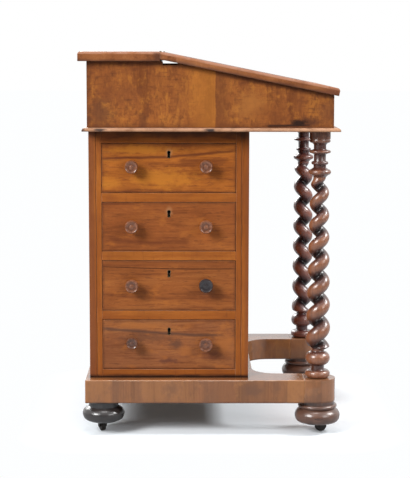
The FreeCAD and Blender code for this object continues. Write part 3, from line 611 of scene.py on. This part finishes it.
def strand_reach(away, strand, throw, climb):
    """How far from the axis a round climbing strand comes, at a turn away from its middle on one level."""
    def reach_of(ahead):
        """The reach of the strand's round that stands this turn ahead of the level."""
        turn = away - ahead
        beside = throw * turn.worked("SINE")
        above = climb * ahead
        left = strand * strand - (above * above + beside * beside)
        reach = throw * turn.worked("COSINE") + left.worked("SQRT")
        return reach * left.worked("GREATER_THAN", 0.0)

    best, furthest = 0.0, 0.0
    for step in range(-ahead_steps, ahead_steps + 1):
        reach = reach_of(step * ahead_step)
        best = reach.worked("GREATER_THAN", furthest) * (step * ahead_step - best) + best
        furthest = reach.worked("MAXIMUM", furthest)
    square = climb * climb
    for repeat in range(reach_repeats):
        pull = furthest * throw
        turn = away - best
        uphill = pull * turn.worked("SINE") - square * best
        best = best + uphill / (pull * turn.worked("COSINE") + square)
        furthest = furthest.worked("MAXIMUM", reach_of(best))
    return furthest


def twist_tree():
    """One strand wound round an axis, thinner and closer towards its head, that dies into its turned ends."""
    kinds = {name: "Float" for name in (*both_twists, *twists["column_left"])}
    kinds.update({"Around": "Int", "Rows": "Int"})
    tree, sizes = new_tree("barley_twist", {"Geometry": "Geometry", **kinds, "Foot": "Vector",
                                            "Material": "Material"})
    steps = {"Vertices X": sizes["Around"] + 1.0, "Vertices Y": sizes["Rows"]}
    grid = made(tree, "GeometryNodeMeshGrid", steps, "Mesh")
    share = Value(tree, grid.socket.node.outputs["UV Map"])
    rise = measure(share, "Y")
    height = rise * sizes["Length"]

    def part_way(name, far=1.0):
        """A size that goes evenly from its foot value towards its head value."""
        return (sizes["Head " + name] - sizes["Foot " + name]) * (rise * far) + sizes["Foot " + name]

    turns = height / part_way("Pitch", 0.5) + sizes["Start"]
    climb = part_way("Pitch") / math.tau
    from_head = (sizes["Length"] - height) / sizes["Head Run"]
    grown = between((height / sizes["Foot Run"]).worked("MINIMUM", from_head), 0.0, 1.0)
    strand = (part_way("Strand") - sizes["Neck"]) * grown + sizes["Neck"]
    throw = grown * part_way("Throw")
    turn = measure(share, "X") * math.tau
    away = (turn - turns * math.tau).worked("WRAP", math.pi, -math.pi)
    reach = strand_reach(away, strand, throw, climb)
    level = made(tree, "ShaderNodeCombineXYZ", {
        "X": reach * turn.worked("COSINE"), "Y": reach * (turn.worked("SINE") * sizes["Hand"]), "Z": height})
    skin = {"Geometry": grid, "Position": level.placed("ADD", sizes["Foot"])}
    skin = made(tree, "GeometryNodeSetPosition", skin)
    skin = stored(skin, "crest", reach / (strand + throw), "FLOAT")
    joined = tree.nodes.new("GeometryNodeJoinGeometry")
    for geometry in (skin, sizes["Geometry"]):
        tree.links.new(geometry.socket, joined.inputs[0])
    whole = {"Geometry": Value(tree, joined.outputs[0]), "Distance": 1e-5}
    return given_out(realized(made(tree, "GeometryNodeMergeByDistance", whole)), sizes["Material"])


column_tones = {
    "column_left": ((0.013, 0.006, 0.006), (0.09, 0.029, 0.019), (0.26, 0.098, 0.045)),
    "column_right": ((0.015, 0.007, 0.008), (0.09, 0.024, 0.02), (0.23, 0.078, 0.05)),
}


def column_finish(name, tones):
    """Dark stain that has stayed in the hollows of the twist and worn to an orange brown on the crests."""
    hollow, side, top = tones
    material, tree = finish(name, 0.5, 0.8, 0.24)
    lines = clouds(kept(tree, "grain_place", "Vector"), (9.0, 240.0, 240.0), 3.0, 0.6)
    cloud = clouds(place_in_desk(tree), (45.0, 45.0, 45.0), 4.0, 0.6)
    raised = (cloud - 0.5) * 0.35 + kept(tree, "crest")
    colour = mixed(between(raised, 0.42, 0.8), hollow, side)
    colour = mixed(between(raised, 0.78, 1.02), colour, top)
    colour = mixed(between(lines, 0.45, 0.7, 0.0, 0.35), colour, [value * 0.4 for value in side])
    return surfaced(material, colour, cloud * 0.18 + 0.26, lines, 0.2, 0.0004)


barley_twist = twist_tree()
for node, own_twist in twists.items():
    axis = (column_x, -arm_middle * own_twist["Hand"])
    column_walnut = column_finish(node + "_walnut", column_tones[node])
    foot = turned_outline(column_base_shares, column_radii[0], column_ends[0], twist_low - column_ends[0],
                          [(0.0, column_ends[0])])
    cap = turned_outline(column_cap_shares, column_radii[1], twist_high, column_ends[1] - twist_high,
                         [(neck_radius, twist_high)])
    outlines = (foot + [(neck_radius, twist_low)], cap + [(0.0, column_ends[1])])
    ends = mesh_of(node + "_ends", [turned(outline, axis) for outline in outlines])
    shares = [math.dist(vertex.co.xy, axis) / column_radii[0] for vertex in ends.vertices]
    keep(ends, "crest", [least_crest + (1 - least_crest) * share for share in shares])
    column = linked(node + "_made", ends)
    sizes = {**both_twists, **own_twist, "Foot": (*axis, twist_low), "Material": column_walnut}
    mesh = grown_mesh(column, barley_twist, sizes)
    shape = bmesh.new()
    shape.from_mesh(mesh)
    bmesh.ops.recalc_face_normals(shape, faces=shape.faces[:])
    shape.to_mesh(mesh)
    shape.free()
    keep(mesh, "grain_place", grain_places(mesh.vertices, "Z"), "FLOAT_VECTOR")
    smoothed(mesh)
    column.data = mesh
    bpy.data.meshes.remove(ends)
    dress(column, "carcase", "walnut_dark", node)

# Pedestal: a back panel and a front panel, with a face frame of strips and rails round the drawers.
# Solid walnut, glued and rubbed; pairs of pine runners inside carry the drawers.
frame_arris = 0.0008
frame_tones = ((0.17, 0.045, 0.01), (0.32, 0.09, 0.016), (0.42, 0.134, 0.024))
frame_worn = (0.42, 0.18, 0.085)
frame_joints_and_shade = (0.036, 0.016, 0.012)
frame_marks = marked(
    # Painted shadow of the writing box's overhang across the top of the face frame.
    (streak, ((-0.28, 0.66), (0.1, 0.66)), 0.026, frame_joints_and_shade, 0.85),
    (band, (-0.2652, -0.25), (0.0002, 0.006), (0.17, 0.058, 0.03), 0.55),
    (band, (0.07, 0.0812), (0.008, 0.0002), (0.19, 0.058, 0.026), 0.5),
    # Dark joint lines between the strips and the rails.
    (band, (-0.2507, -0.2483), (0.0008, 0.0008), frame_joints_and_shade, 0.6),
    (band, (0.0643, 0.0667), (0.0008, 0.0008), frame_joints_and_shade, 0.6),
    # Painted contact shade along the foot of the pedestal.
    (streak, ((-0.28, 0.122), (0.1, 0.122)), 0.008, frame_joints_and_shade, 0.97),
    (mottle, (12.0, 12.0, 12.0), (0.46, 0.7), (0.2, 0.056, 0.018), 0.45),
    (mottle, (160.0, 160.0, 22.0), (0.55, 0.76), (0.13, 0.038, 0.014), 0.45),
)
frame_walnut = walnut("frame_walnut", frame_tones, frame_worn, shine=0.14, stain=frame_marks)
for node in ("pedestal_back_panel", "pedestal_front_panel"):
    boards(node, frame_arris, frame_walnut, "carcase", "walnut", "Z")
boards("drawer_face_frame", frame_arris, frame_walnut, "carcase", "walnut")
pine_tones = ((0.33, 0.2, 0.095), (0.46, 0.3, 0.155), (0.56, 0.39, 0.22))
pine = walnut("pine", pine_tones, (0.5, 0.35, 0.2), bands=(1.0, 40.0), gloss=0.62, patina=0.25)
pine_arris = 0.0006
boards("drawer_runners", pine_arris, pine, "carcase", "pine")

# Dummy side: the far side of the pedestal, a panel with four false drawer fronts let into it.
# Walnut, glued in for good; eight turned knobs make it match the real drawers.
opening_middles = (0.58045, 0.45295, 0.32395, 0.19345)
knob_places = (-0.1725, -0.0115)
knob_rises = ((0.0035, 0.0042), (0.0014, 0.0015), (0.0009, 0.0022), (0.006, 0.002))
knob_radii = ((0.0145, 0.0145), (0.0145, 0.0145), (0.0145, 0.0155), (0.0125, 0.015))
knob_ages = ((0.2, 0.15), (0.1, 0.15), (0.3, 0.9), (0.55, 0.35))
knob_projection = 0.024
knob_shares = ((0.56, 0.0), (0.45, 0.62, 0.5), (1.0, 0.86, 0.97), (0.42, 0.84), (0.24, 0.88), (0.0, 0.95))
knob_groove = knob_shares[3]
dish_reach = 0.18
spigot_shares = ((0.0, -0.5), (0.29, -0.5), (0.29, 0.0))
front_tones = (
    ((0.25, 0.07, 0.015), (0.44, 0.134, 0.022), (0.53, 0.195, 0.03)),
    ((0.15, 0.042, 0.013), (0.29, 0.084, 0.022), (0.365, 0.115, 0.028)),
    ((0.145, 0.042, 0.014), (0.3, 0.092, 0.024), (0.38, 0.128, 0.034)),
    ((0.125, 0.042, 0.02), (0.29, 0.102, 0.038), (0.4, 0.15, 0.046)),
)
rim_dark = (0.095, 0.03, 0.014)
front_ends = (-0.2367, 0.0527)
front_heights = ((0.5275, 0.6334), (0.4, 0.5059), (0.2695, 0.3784), (0.139, 0.2479))
fine_figure = (
    (mottle, (6.0, 6.0, 14.0), (0.46, 0.66), (0.17, 0.044, 0.015), 0.4),
    (mottle, (9.0, 9.0, 150.0), (0.5, 0.66), (0.14, 0.037, 0.013), 0.55),
    (mottle, (22.0, 22.0, 40.0), (0.52, 0.7), (0.5, 0.16, 0.03), 0.4),
    (mottle, (50.0, 50.0, 300.0), (0.54, 0.7), (0.1, 0.03, 0.014), 0.55),
)


def rim(spot, edges, width):
    """Share of the darkening along the four edges of an upright board, given as its ends, bottom and top."""
    x, z = measure(spot, "X"), measure(spot, "Z")
    nearest = x - edges[0]
    for inside in (edges[1] - x, z - edges[2], edges[3] - z):
        nearest = nearest.worked("MINIMUM", inside)
    ragged = clouds(spot, (40.0, 40.0, 40.0), 4.0, 0.6) * width - width / 2
    return between(nearest.size() + ragged, width, 0.0)


# Each drawer front darker along its four edges.
front_rims = [(rim, (*front_ends, *heights), 0.007, rim_dark, 0.5) for heights in front_heights]
figured_walnut = walnut("figured_walnut", front_tones[1], frame_worn, bands=(2.2, 22.0), sway=0.05,
                        shine=0.15, stain=marked(*fine_figure, *front_rims))
boards("dummy_side_panel", frame_arris, frame_walnut, "carcase", "walnut")
boards("dummy_drawer_fronts", frame_arris, figured_walnut, "carcase", "walnut_figured")


def knob_finish():
    """Polished knobs, each with its own age from pale red brown to nearly black, with painted shade in the
    dish.
    """
    material, tree = finish("knob_walnut", 0.4, 0.6, 0.1)
    rings = clouds(kept(tree, "grain_place", "Vector"), (30.0, 130.0, 130.0), 3.0, 0.6)
    colour = mixed(between(rings, 0.3, 0.7), (0.145, 0.048, 0.02), (0.315, 0.118, 0.053))
    # Painted shade in the dish inside the rim.
    colour = mixed(kept(tree, "dish") * 0.6, colour, (0.06, 0.02, 0.012))
    colour = mixed(between(kept(tree, "age"), 0.15, 1.0), colour, (0.018, 0.017, 0.021))
    return surfaced(material, colour, rings * 0.14 + 0.24, rings, 0.08, 0.0003)


def knob_tree():
    """Knobs set at points: the pattern knob turned to face each point's way and scaled to its size."""
    vector = "FLOAT_VECTOR"
    tree, sizes = new_tree("set_knobs", {"Geometry": "Geometry", "Pattern": "Object", "Seed": "Int",
                                         "Material": "Material"})

    def named(name):
        """The place, way or size that the points keep under this name."""
        return made(tree, "GeometryNodeInputNamedAttribute", {"Name": name}, data_type=vector)

    spread = {0: (0.0, 0.0, 0.0), 1: (2.0, 2.0, 2.0), 8: sizes["Seed"]}
    start = made(tree, "FunctionNodeRandomValue", spread, data_type=vector)
    setting = {
        "Points": stored(sizes["Geometry"], "start", start, vector),
        "Instance": made(tree, "GeometryNodeObjectInfo", {"Object": sizes["Pattern"]}, "Geometry"),
        "Rotation": made(tree, "FunctionNodeAlignRotationToVector", {"Vector": named("facing")}, axis="Z"),
        "Scale": named("size")}
    plain = realized(made(tree, "GeometryNodeInstanceOnPoints", setting))
    plain = stored(plain, "grain_place", named("grain_place").placed("ADD", named("start")), vector)
    return given_out(plain, sizes["Material"])


def knob_pattern():
    """One knob of unit radius and unit length on the origin, pointing up, with its spigot below."""
    outline = turned_outline(knob_shares, 1.0, 0.0, 1.0, spigot_shares)
    mesh = mesh_of("knob_pattern", [turned(outline)])
    places = [vertex.co.copy() for vertex in mesh.vertices]
    keep(mesh, "grain_place", [place.zxy * knob_projection for place in places], "FLOAT_VECTOR")
    # Nearness to the groove of the dish, which sets the knob's painted shade.
    depths = [math.dist((place.xy.length, place.z), knob_groove) for place in places]
    keep(mesh, "dish", [max(0.0, 1.0 - depth / dish_reach) for depth in depths])
    smoothed(mesh)
    return bpy.data.objects.new("knob_pattern", mesh)


def knobs(node, points, body, seed):
    """A finished piece of knobs, each given by its place, the way that it faces, its radius and its age."""
    places, ways, radii, ages = zip(*points)
    mesh = bpy.data.meshes.new(node + "_points")
    mesh.from_pydata(places, [], [])
    keep(mesh, "facing", ways, "FLOAT_VECTOR")
    keep(mesh, "size", [(radius, radius, knob_projection) for radius in radii], "FLOAT_VECTOR")
    keep(mesh, "age", ages)
    piece = linked(node + "_made", mesh)
    setting = {"Pattern": pattern_knob, "Seed": seed, "Material": knob_walnut}
    piece.data = grown_mesh(piece, set_knobs, setting)
    bpy.data.meshes.remove(mesh)
    dress(piece, body, "walnut_knobs", node)


def drawer_knob_points(index, side):
    """The two knobs of one drawer height, on the drawers' side or on the dummy side."""
    rows = zip(knob_places, knob_rises[index], knob_radii[index], knob_ages[index])
    middle = opening_middles[index]
    return [((x, side * pedestal_half, middle + rise), (0.0, side, 0.0), radius, age)
            for x, rise, radius, age in rows]


knob_walnut = knob_finish()
pattern_knob = knob_pattern()
set_knobs = knob_tree()
dummy_points = [point for index in range(4) for point in drawer_knob_points(index, 1.0)]
knobs("dummy_knobs", dummy_points, "carcase", 5)

# Drawers: four working drawers, each with a figured walnut front, a pine box, two turned knobs and a lock.
# The fronts are dovetailed and flush; every lock has a brass case, a lined keyhole and a bolt that rises.
brass = old_metal("old_brass", (0.42, 0.28, 0.11), (0.15, 0.095, 0.042), 1.0, 0.38)
keyhole_drops = ((0.036, 0.035), (0.004, 0.006))
keyhole_depths = (-0.2304, -0.2298)


def keyhole_shade(colour, spot):
    """Painted shade in the keyholes: black from just behind the drawer fronts' faces, below the locks' top
    plates.
    """
    z = measure(spot, "Z")
    below = 0.0
    for _, top in front_heights:
        foot, head = [[top - drop for drop in drops] for drops in keyhole_drops]
        below = between(z, *foot) * between(z, *head) + below
    inside = between(measure(spot, "Y"), *keyhole_depths)
    return mixed(inside * below * 0.97, colour, (0.004, 0.003, 0.003))


# The locks' brass is painted black where it is seen through the keyholes, as painted shade.
lock_brass = old_metal("lock_brass", (0.17, 0.125, 0.07), (0.06, 0.043, 0.026), 0.8, 0.5, keyhole_shade)
drawer_arris = 0.0009
dark_streak = (0.135, 0.036, 0.014)
golden = (0.52, 0.185, 0.024)
smoky = (0.1, 0.046, 0.03)
crack = (0.04, 0.012, 0.007)
amber = (0.42, 0.14, 0.034)
key_wear = (0.44, 0.2, 0.085)
front_marks = (
    ((streak, ((-0.2397, 0.6015), (-0.0909, 0.605), (0.0527, 0.6175)), 0.005, dark_streak, 0.85),
     (streak, ((-0.07, 0.5959), (0.033, 0.5982)), 0.0075, dark_streak, 0.55),
     (streak, ((-0.195, 0.59), (-0.035, 0.5885)), 0.009, dark_streak, 0.3),
     (streak, ((-0.233, 0.615), (-0.217, 0.615)), 0.0012, smoky, 0.85),
     (patch, (-0.105, 0.558), (0.075, 0.024), golden, 0.7),
     (patch, (-0.22, 0.55), (0.03, 0.018), golden, 0.5),
     (patch, (-0.15, 0.62), (0.09, 0.011), golden, 0.7),
     (patch, (-0.092, 0.614), (0.0085, 0.0105), key_wear, 0.55)),
    ((patch, (-0.092, 0.487), (0.0085, 0.0105), key_wear, 0.55),
     (streak, ((-0.22, 0.426), (-0.133, 0.4175), (-0.05, 0.42)), 0.009, dark_streak, 0.6),
     (patch, (-0.01, 0.435), (0.035, 0.014), (0.36, 0.1, 0.022), 0.5)),
    ((streak, ((-0.2399, 0.3653), (-0.09, 0.3608), (0.0539, 0.3606)), 0.0016, crack, 0.95),
     (streak, ((-0.2399, 0.3725), (0.0539, 0.369)), 0.0075, (0.255, 0.074, 0.02), 0.5),
     (patch, (-0.011, 0.312), (0.017, 0.012), smoky, 0.55),
     (streak, ((-0.23, 0.302), (-0.09, 0.295), (0.04, 0.299)), 0.006, dark_streak, 0.45)),
    ((streak, ((-0.2365, 0.2289), (-0.1119, 0.219), (0.0239, 0.2123)), 0.006, smoky, 0.85),
     (patch, (-0.075, 0.1945), (0.015, 0.013), smoky, 0.7),
     (patch, (0.008, 0.172), (0.038, 0.016), (0.12, 0.036, 0.02), 0.6),
     (patch, (-0.14, 0.208), (0.06, 0.01), smoky, 0.45),
     (patch, (-0.093, 0.1565), (0.022, 0.007), (0.11, 0.038, 0.026), 0.8),
     (patch, (0.03, 0.195), (0.028, 0.03), amber, 0.6),
     (patch, (-0.055, 0.18), (0.02, 0.013), (0.4, 0.135, 0.036), 0.6),
     (patch, (-0.15, 0.235), (0.07, 0.008), amber, 0.55)),
)
for index, (tones, marks) in enumerate(zip(front_tones, front_marks)):
    body = f"drawer_{index + 1}"
    stain = marked(*fine_figure, front_rims[index], *marks)
    front_walnut = walnut(f"front_walnut_{index + 1}", tones, frame_worn, bands=(2.0, 20.0), sway=0.05,
                          shine=0.15, stain=stain)
    boards(body + "_front", drawer_arris, front_walnut, body, "walnut_figured", "X")
    boards(body + "_box", pine_arris, pine, body, "pine")
    knobs(body + "_knobs", drawer_knob_points(index, -1.0), body, index + 1)
    boards(body + "_lock", metal_arris, lock_brass, body, "brass")
    boards(body + "_lock_bolt", metal_arris, lock_brass, body + "_bolt", "brass")

# Writing box: a moulded bottom board, two sloping sides, a back and a low front, on the pedestal and columns.
# The sides are faced with upright leaves of figured walnut veneer; the boards are tongued and glued.
box_tones = ((0.185, 0.056, 0.016), (0.33, 0.106, 0.026), (0.44, 0.158, 0.032))
box_worn = (0.47, 0.24, 0.14)
box_edges_and_lid_shade = (0.095, 0.032, 0.016)
ding = (0.045, 0.03, 0.028)
box_figure = (
    (mottle, (11.0, 11.0, 7.0), (0.44, 0.68), (0.165, 0.047, 0.017), 0.6),
    (mottle, (70.0, 70.0, 52.0), (0.48, 0.7), (0.13, 0.038, 0.016), 0.6),
    (mottle, (190.0, 190.0, 70.0), (0.48, 0.7), (0.13, 0.04, 0.016), 0.6),
    (mottle, (44.0, 44.0, 240.0), (0.52, 0.72), (0.1, 0.034, 0.016), 0.6),
    (mottle, (80.0, 80.0, 60.0), (0.5, 0.72), (0.54, 0.2, 0.034), 0.45),
)
box_grain = {"bands": (2.6, 18.0), "sway": 0.08}
box_walnut = walnut("box_walnut", box_tones, box_worn, stain=marked(*box_figure), **box_grain)
side_marks = marked(
    *box_figure,
    # The left side darker along its ends and its bottom edge.
    (rim, (-0.2655, 0.2598, 0.6695, 0.9), 0.014, box_edges_and_lid_shade, 0.55),
    # Painted shadow of the top and the lid along the upper edge of the left side.
    (streak, ((-0.29, 0.808), (-0.104, 0.8075), (-0.073, 0.8035), (0.28, 0.733)), 0.011, box_edges_and_lid_shade, 0.7),
    (band, (-0.07, 0.0076), (0.06, 0.0006), (0.44, 0.155, 0.026), 0.55),
    (band, (0.0076, 0.05), (0.0006, 0.03), (0.185, 0.06, 0.02), 0.55),
    (streak, ((-0.09, 0.728), (-0.05, 0.73)), 0.04, (0.24, 0.072, 0.022), 0.35),
    (patch, (0.0808, 0.718), (0.038, 0.034), (0.45, 0.17, 0.04), 0.55),
    (patch, (0.12, 0.7), (0.05, 0.02), (0.23, 0.07, 0.02), 0.5),
    (patch, (-0.238, 0.7), (0.034, 0.042), (0.11, 0.042, 0.022), 0.6),
    (patch, (-0.19, 0.738), (0.048, 0.026), (0.2, 0.062, 0.022), 0.55),
    (streak, ((-0.185, 0.728), (-0.17, 0.7285)), 0.003, (0.09, 0.032, 0.016), 0.7),
    (patch, (-0.145, 0.685), (0.012, 0.016), (0.12, 0.04, 0.018), 0.6),
    (streak, ((0.117, 0.6735), (0.21, 0.676)), 0.004, (0.03, 0.014, 0.01), 0.95),
    (patch, (0.205, 0.683), (0.026, 0.012), (0.09, 0.032, 0.018), 0.75),
    (patch, (0.185, 0.68), (0.022, 0.008), (0.024, 0.012, 0.009), 0.95),
    (patch, (0.245, 0.7), (0.02, 0.03), (0.15, 0.05, 0.024), 0.5),
    (patch, (0.185, 0.735), (0.01, 0.04), (0.21, 0.066, 0.022), 0.45),
)
left_walnut = walnut("left_walnut", box_tones, box_worn, stain=side_marks, **box_grain)
moulding_tones = ((0.17, 0.068, 0.032), (0.31, 0.148, 0.076), (0.41, 0.215, 0.12))
moulding_half = 0.28


def near_side(shape, depth):
    """The same shape of mark, kept to the faces on the drawers' side that are this far out."""
    def limited(spot, place, size):
        """Share of the mark on those faces."""
        return shape(spot, place, size) * between(measure(spot, "Y"), 0.003 - depth, -depth)
    return limited


moulding_patch = near_side(patch, moulding_half)
moulding_dings = marked(
    (mottle, (60.0, 60.0, 60.0), (0.54, 0.72), (0.12, 0.06, 0.042), 0.55),
    (moulding_patch, (-0.2368, 0.666), (0.013, 0.0075), ding, 0.95),
    (moulding_patch, (-0.003, 0.665), (0.016, 0.008), ding, 1.0),
    (moulding_patch, (-0.274, 0.665), (0.008, 0.008), ding, 0.8),
)
moulding_walnut = walnut("moulding_walnut", moulding_tones, (0.5, 0.28, 0.17), stain=moulding_dings)
boards("case_bottom_board", frame_arris, moulding_walnut, "carcase", "walnut")
boards("case_left_side", frame_arris, left_walnut, "carcase", "walnut", "Z")
boards("case_right_side", frame_arris, box_walnut, "carcase", "walnut", "Z")
for node in ("case_back", "case_front"):
    boards(node, frame_arris, box_walnut, "carcase", "walnut")

# Lid lock: a brass lock let into the low front of the writing box, with a bolt that rises into the lid.
# Screwed from inside; the lid carries the strike plate.
boards("lid_lock", metal_arris, brass, "carcase", "brass")
boards("lid_lock_bolt", metal_arris, brass, "lid_bolt", "brass")
boards("lid_strike_plate", metal_arris, brass, "lid", "brass")

# Hinges: two brass butts between the fixed top and the lid, their pins level with the top.
# One leaf of each is let into the fixed top and the other into the lid's rail.
boards("hinge_fixed_leaves_and_pins", metal_arris, brass, "carcase", "brass")
boards("hinge_lid_leaves", metal_arris, brass, "lid", "brass")

# Top and lid: a fixed flat top at the back and a sloping lid of a clamp rail and a panel, both round-edged.
# Solid walnut, worn pale along the arris; the lid swings up on the two hinges.
lid_tones = ((0.145, 0.044, 0.014), (0.275, 0.094, 0.03), (0.355, 0.138, 0.048))
lid_worn = (0.35, 0.17, 0.105)
lid_joint_and_shade = (0.085, 0.032, 0.018)
lid_half = 0.284
lid_streak = near_side(streak, lid_half)
lid_patch = near_side(patch, lid_half)
lid_marks = marked(
    (mottle, (30.0, 30.0, 60.0), (0.5, 0.74), (0.17, 0.058, 0.024), 0.45),
    # Painted shade along the bottom of the top's and the lid's edges.
    (lid_streak, ((-0.3, 0.809), (-0.1098, 0.809)), 0.007, lid_joint_and_shade, 0.75),
    (lid_streak, ((-0.1098, 0.8134), (0.29, 0.7328)), 0.008, lid_joint_and_shade, 0.75),
    # A dark patch at the joint of the fixed top and the lid.
    (lid_patch, (-0.117, 0.82), (0.01, 0.016), lid_joint_and_shade, 0.7),
    (lid_patch, (0.256, 0.747), (0.026, 0.012), (0.15, 0.052, 0.028), 0.6),
)
lid_walnut = walnut("lid_walnut", lid_tones, lid_worn, bands=(1.6, 22.0), sway=0.04, gloss=0.4,
                    stain=lid_marks)
boards("fixed_top", frame_arris, lid_walnut, "carcase", "walnut")
for node in ("lid_hinge_rail", "lid_panel"):
    boards(node, frame_arris, lid_walnut, "lid", "walnut")

# Writing surface: a thin skin of red-brown leather glued into a shallow bed in the lid.
# Plain, with two blind-tooled lines round its border.
lid_slope = math.radians(11.4)
tooled_rows = ((0.0, 0.0005), (0.0008, 0.0), (0.014, 0.0), (0.0146, 0.0004), (0.0152, 0.0), (0.0186, 0.0),
               (0.019, 0.0003), (0.0194, 0.0))


def tooled_skin(node):
    """The skin on the slope as nested frames, with a soft edge and border lines that are pressed in."""
    axes = (Vector((math.cos(lid_slope), 0.0, -math.sin(lid_slope))), Vector((0.0, 1.0, 0.0)),
            Vector((math.sin(lid_slope), 0.0, math.cos(lid_slope))))
    corners = [vertex.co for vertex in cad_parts[node].data.vertices]
    low = [min(axis.dot(corner) for corner in corners) for axis in axes]
    high = [max(axis.dot(corner) for corner in corners) for axis in axes]
    shape = bmesh.new()

    def level(inset, height):
        """Four corners of a frame this far in from the skin's edge."""
        sides = ((low[0] + inset, low[1] + inset), (high[0] - inset, low[1] + inset),
                 (high[0] - inset, high[1] - inset), (low[0] + inset, high[1] - inset))
        return [shape.verts.new(axes[0] * along + axes[1] * across + axes[2] * height)
                for along, across in sides]

    frames = [level(0.0, low[2])] + [level(inset, high[2] - depth) for inset, depth in tooled_rows]
    shape.faces.new(frames[0][::-1])
    shape.faces.new(frames[-1])
    for outer, inner in zip(frames, frames[1:]):
        for step in range(4):
            following = (step + 1) % 4
            shape.faces.new((outer[step], outer[following], inner[following], inner[step]))
    shape.normal_update()
    return shape


def leather_finish():
    """Old hide: a fine pebbled grain, darker where it is handled least, with dark pressed lines."""
    material, tree = finish("leather", 0.35)
    spot = place_in_desk(tree)
    pebbles = made(tree, "ShaderNodeTexVoronoi", {"Vector": spot, "Scale": 850.0}, "Distance")
    wear = clouds(spot, (14.0, 14.0, 14.0), 4.0, 0.6)
    colour = mixed(between(wear, 0.35, 0.68), (0.062, 0.014, 0.009), (0.13, 0.034, 0.019))
    colour = mixed(between(pebbles, 0.25, 0.75, 0.0, 0.45), colour, (0.03, 0.008, 0.006))
    colour = mixed(kept(tree, "arris") * 0.7, colour, (0.024, 0.007, 0.005))
    return surfaced(material, colour, wear * -0.2 + 0.58, pebbles, 0.25, 0.0003, invert=True)


piece_of("writing_leather", [tooled_skin("writing_leather")], leather_finish(), "lid", "leather")

# Till: a low shelf and divider at the back of the writing box, with two little drawers.
# Pine, thin and plain, with small turned pulls.
boards("till_shelf", pine_arris, pine, "carcase", "pine")
for side in ("left", "right"):
    boards("till_drawer_" + side, pine_arris, pine, "till_" + side, "pine")

# Studio: a pale floor that fades to white, soft lamps and a pale surround, and the camera of the photograph.
# The floor keeps the desk's shadow, lifted a little by a painted glow that grows to white away from the
# desk's footprint.
floor_reach = 30.0
shade_half, painted_glow_reach, least_painted_glow = 0.27, 0.16, 0.03
floor_corners = [(x * floor_reach, y * floor_reach, 0.0) for x, y in ((-1, -1), (1, -1), (1, 1), (-1, 1))]
floor_mesh = bpy.data.meshes.new("studio_floor")
floor_mesh.from_pydata(floor_corners, [], [(0, 1, 2, 3)])
studio_floor = linked("studio_floor", floor_mesh)
floor_paint = bpy.data.materials.new("floor_paint")
floor_paint.use_nodes = True
paint = floor_paint.node_tree
paint.nodes.clear()


def ray(tree, kind):
    """One for a ray of this kind, and else zero."""
    return made(tree, "ShaderNodeLightPath", (), f"Is {kind} Ray")


outside = place_in_desk(paint).placed("ABSOLUTE").placed("SUBTRACT", (shade_half, shade_half, 0.0))
away = outside.placed("MAXIMUM", (0.0, 0.0, 0.0)).length()
tint = mixed(ray(paint, "Glossy") * 0.2 + ray(paint, "Camera"), (0.32, 0.33, 0.34), (0.91, 0.955, 0.995))
lit = made(paint, "ShaderNodeBsdfDiffuse", {"Color": tint})
painted_glow = made(paint, "ShaderNodeEmission", {"Color": (0.985, 0.995, 1.0, 1.0), "Strength": 1.0})
# Painted glow: white emission seen by the camera, faint under the desk and full beyond its footprint,
# standing in for light.
painted_glow_share = between(away, 0.0, painted_glow_reach, least_painted_glow, 1.0) * ray(paint, "Camera")
blended = made(paint, "ShaderNodeMixShader", {0: painted_glow_share, 1: lit, 2: painted_glow})
made(paint, "ShaderNodeOutputMaterial", {"Surface": blended})
floor_mesh.materials.append(floor_paint)

world = bpy.data.worlds.new("studio_surround")
bpy.context.scene.world = world
world.use_nodes = True
surround = world.node_tree
surround.nodes.clear()
way = made(surround, "ShaderNodeTexCoord", (), "Generated")
from_behind = between(measure(way, "Y"), -0.45, 0.15, 0.15, 1.0)
from_above = between(measure(way, "Z"), 0.3, 0.85, 0.15, 1.0)
mirrored = ray(surround, "Glossy").worked("MAXIMUM", ray(surround, "Transmission"))
soft_strength = 0.12
strength = (from_behind.worked("MAXIMUM", from_above) - soft_strength) * mirrored + soft_strength
strength = strength.worked("MAXIMUM", ray(surround, "Camera"))
sky = made(surround, "ShaderNodeBackground", {"Color": (1.0, 1.0, 1.0, 1.0), "Strength": strength})
made(surround, "ShaderNodeOutputWorld", {"Surface": sky})

lamps = (
    ("key_lamp", (-3.1, -2.9, 2.8), 1.8, 244.0),
    ("fill_lamp", (2.4, -2.6, 1.9), 1.6, 42.0),
    ("top_lamp", (-0.1, -0.5, 3.4), 0.9, 22.0),
    ("knee_lamp", (3.0, -0.3, 2.7), 1.2, 120.0),
    ("back_lamp", (-1.4, 3.3, 2.3), 1.6, 95.0),
)
lamp_aim = Vector((0.0, 0.0, 0.35))
for name, spot, size, power in lamps:
    light = bpy.data.lights.new(name, "AREA")
    light.size = size
    light.energy = power
    lamp = linked(name, light)
    lamp.location = spot
    lamp.rotation_euler = (lamp_aim - Vector(spot)).to_track_quat("-Z", "Y").to_euler()

picture_height = 478.0
focal_pixels = 1469.1
camera_yaw, camera_pitch, camera_roll = 0.0084, -0.1252, 0.0019
camera_place = (-0.04036, -3.39565, 0.82477)
sensor = 36.0
ahead = Vector((math.sin(camera_yaw) * math.cos(camera_pitch), math.cos(camera_yaw) * math.cos(camera_pitch),
                math.sin(camera_pitch)))
right = Vector((math.cos(camera_yaw), -math.sin(camera_yaw), 0.0))
up = right.cross(ahead)
rolled_right = math.cos(camera_roll) * right + math.sin(camera_roll) * up
rolled_up = math.cos(camera_roll) * up - math.sin(camera_roll) * right
lens = bpy.data.cameras.new("photo_camera")
lens.sensor_fit = "VERTICAL"
lens.sensor_width = sensor
lens.sensor_height = sensor
lens.lens = sensor * focal_pixels / picture_height
camera = linked("photo_camera", lens)
camera_turn = Matrix((rolled_right, rolled_up, -ahead)).transposed().to_4x4()
camera.matrix_world = Matrix.Translation(camera_place) @ camera_turn
bpy.context.scene.camera = camera
bpy.context.scene.view_settings.view_transform = "Standard"
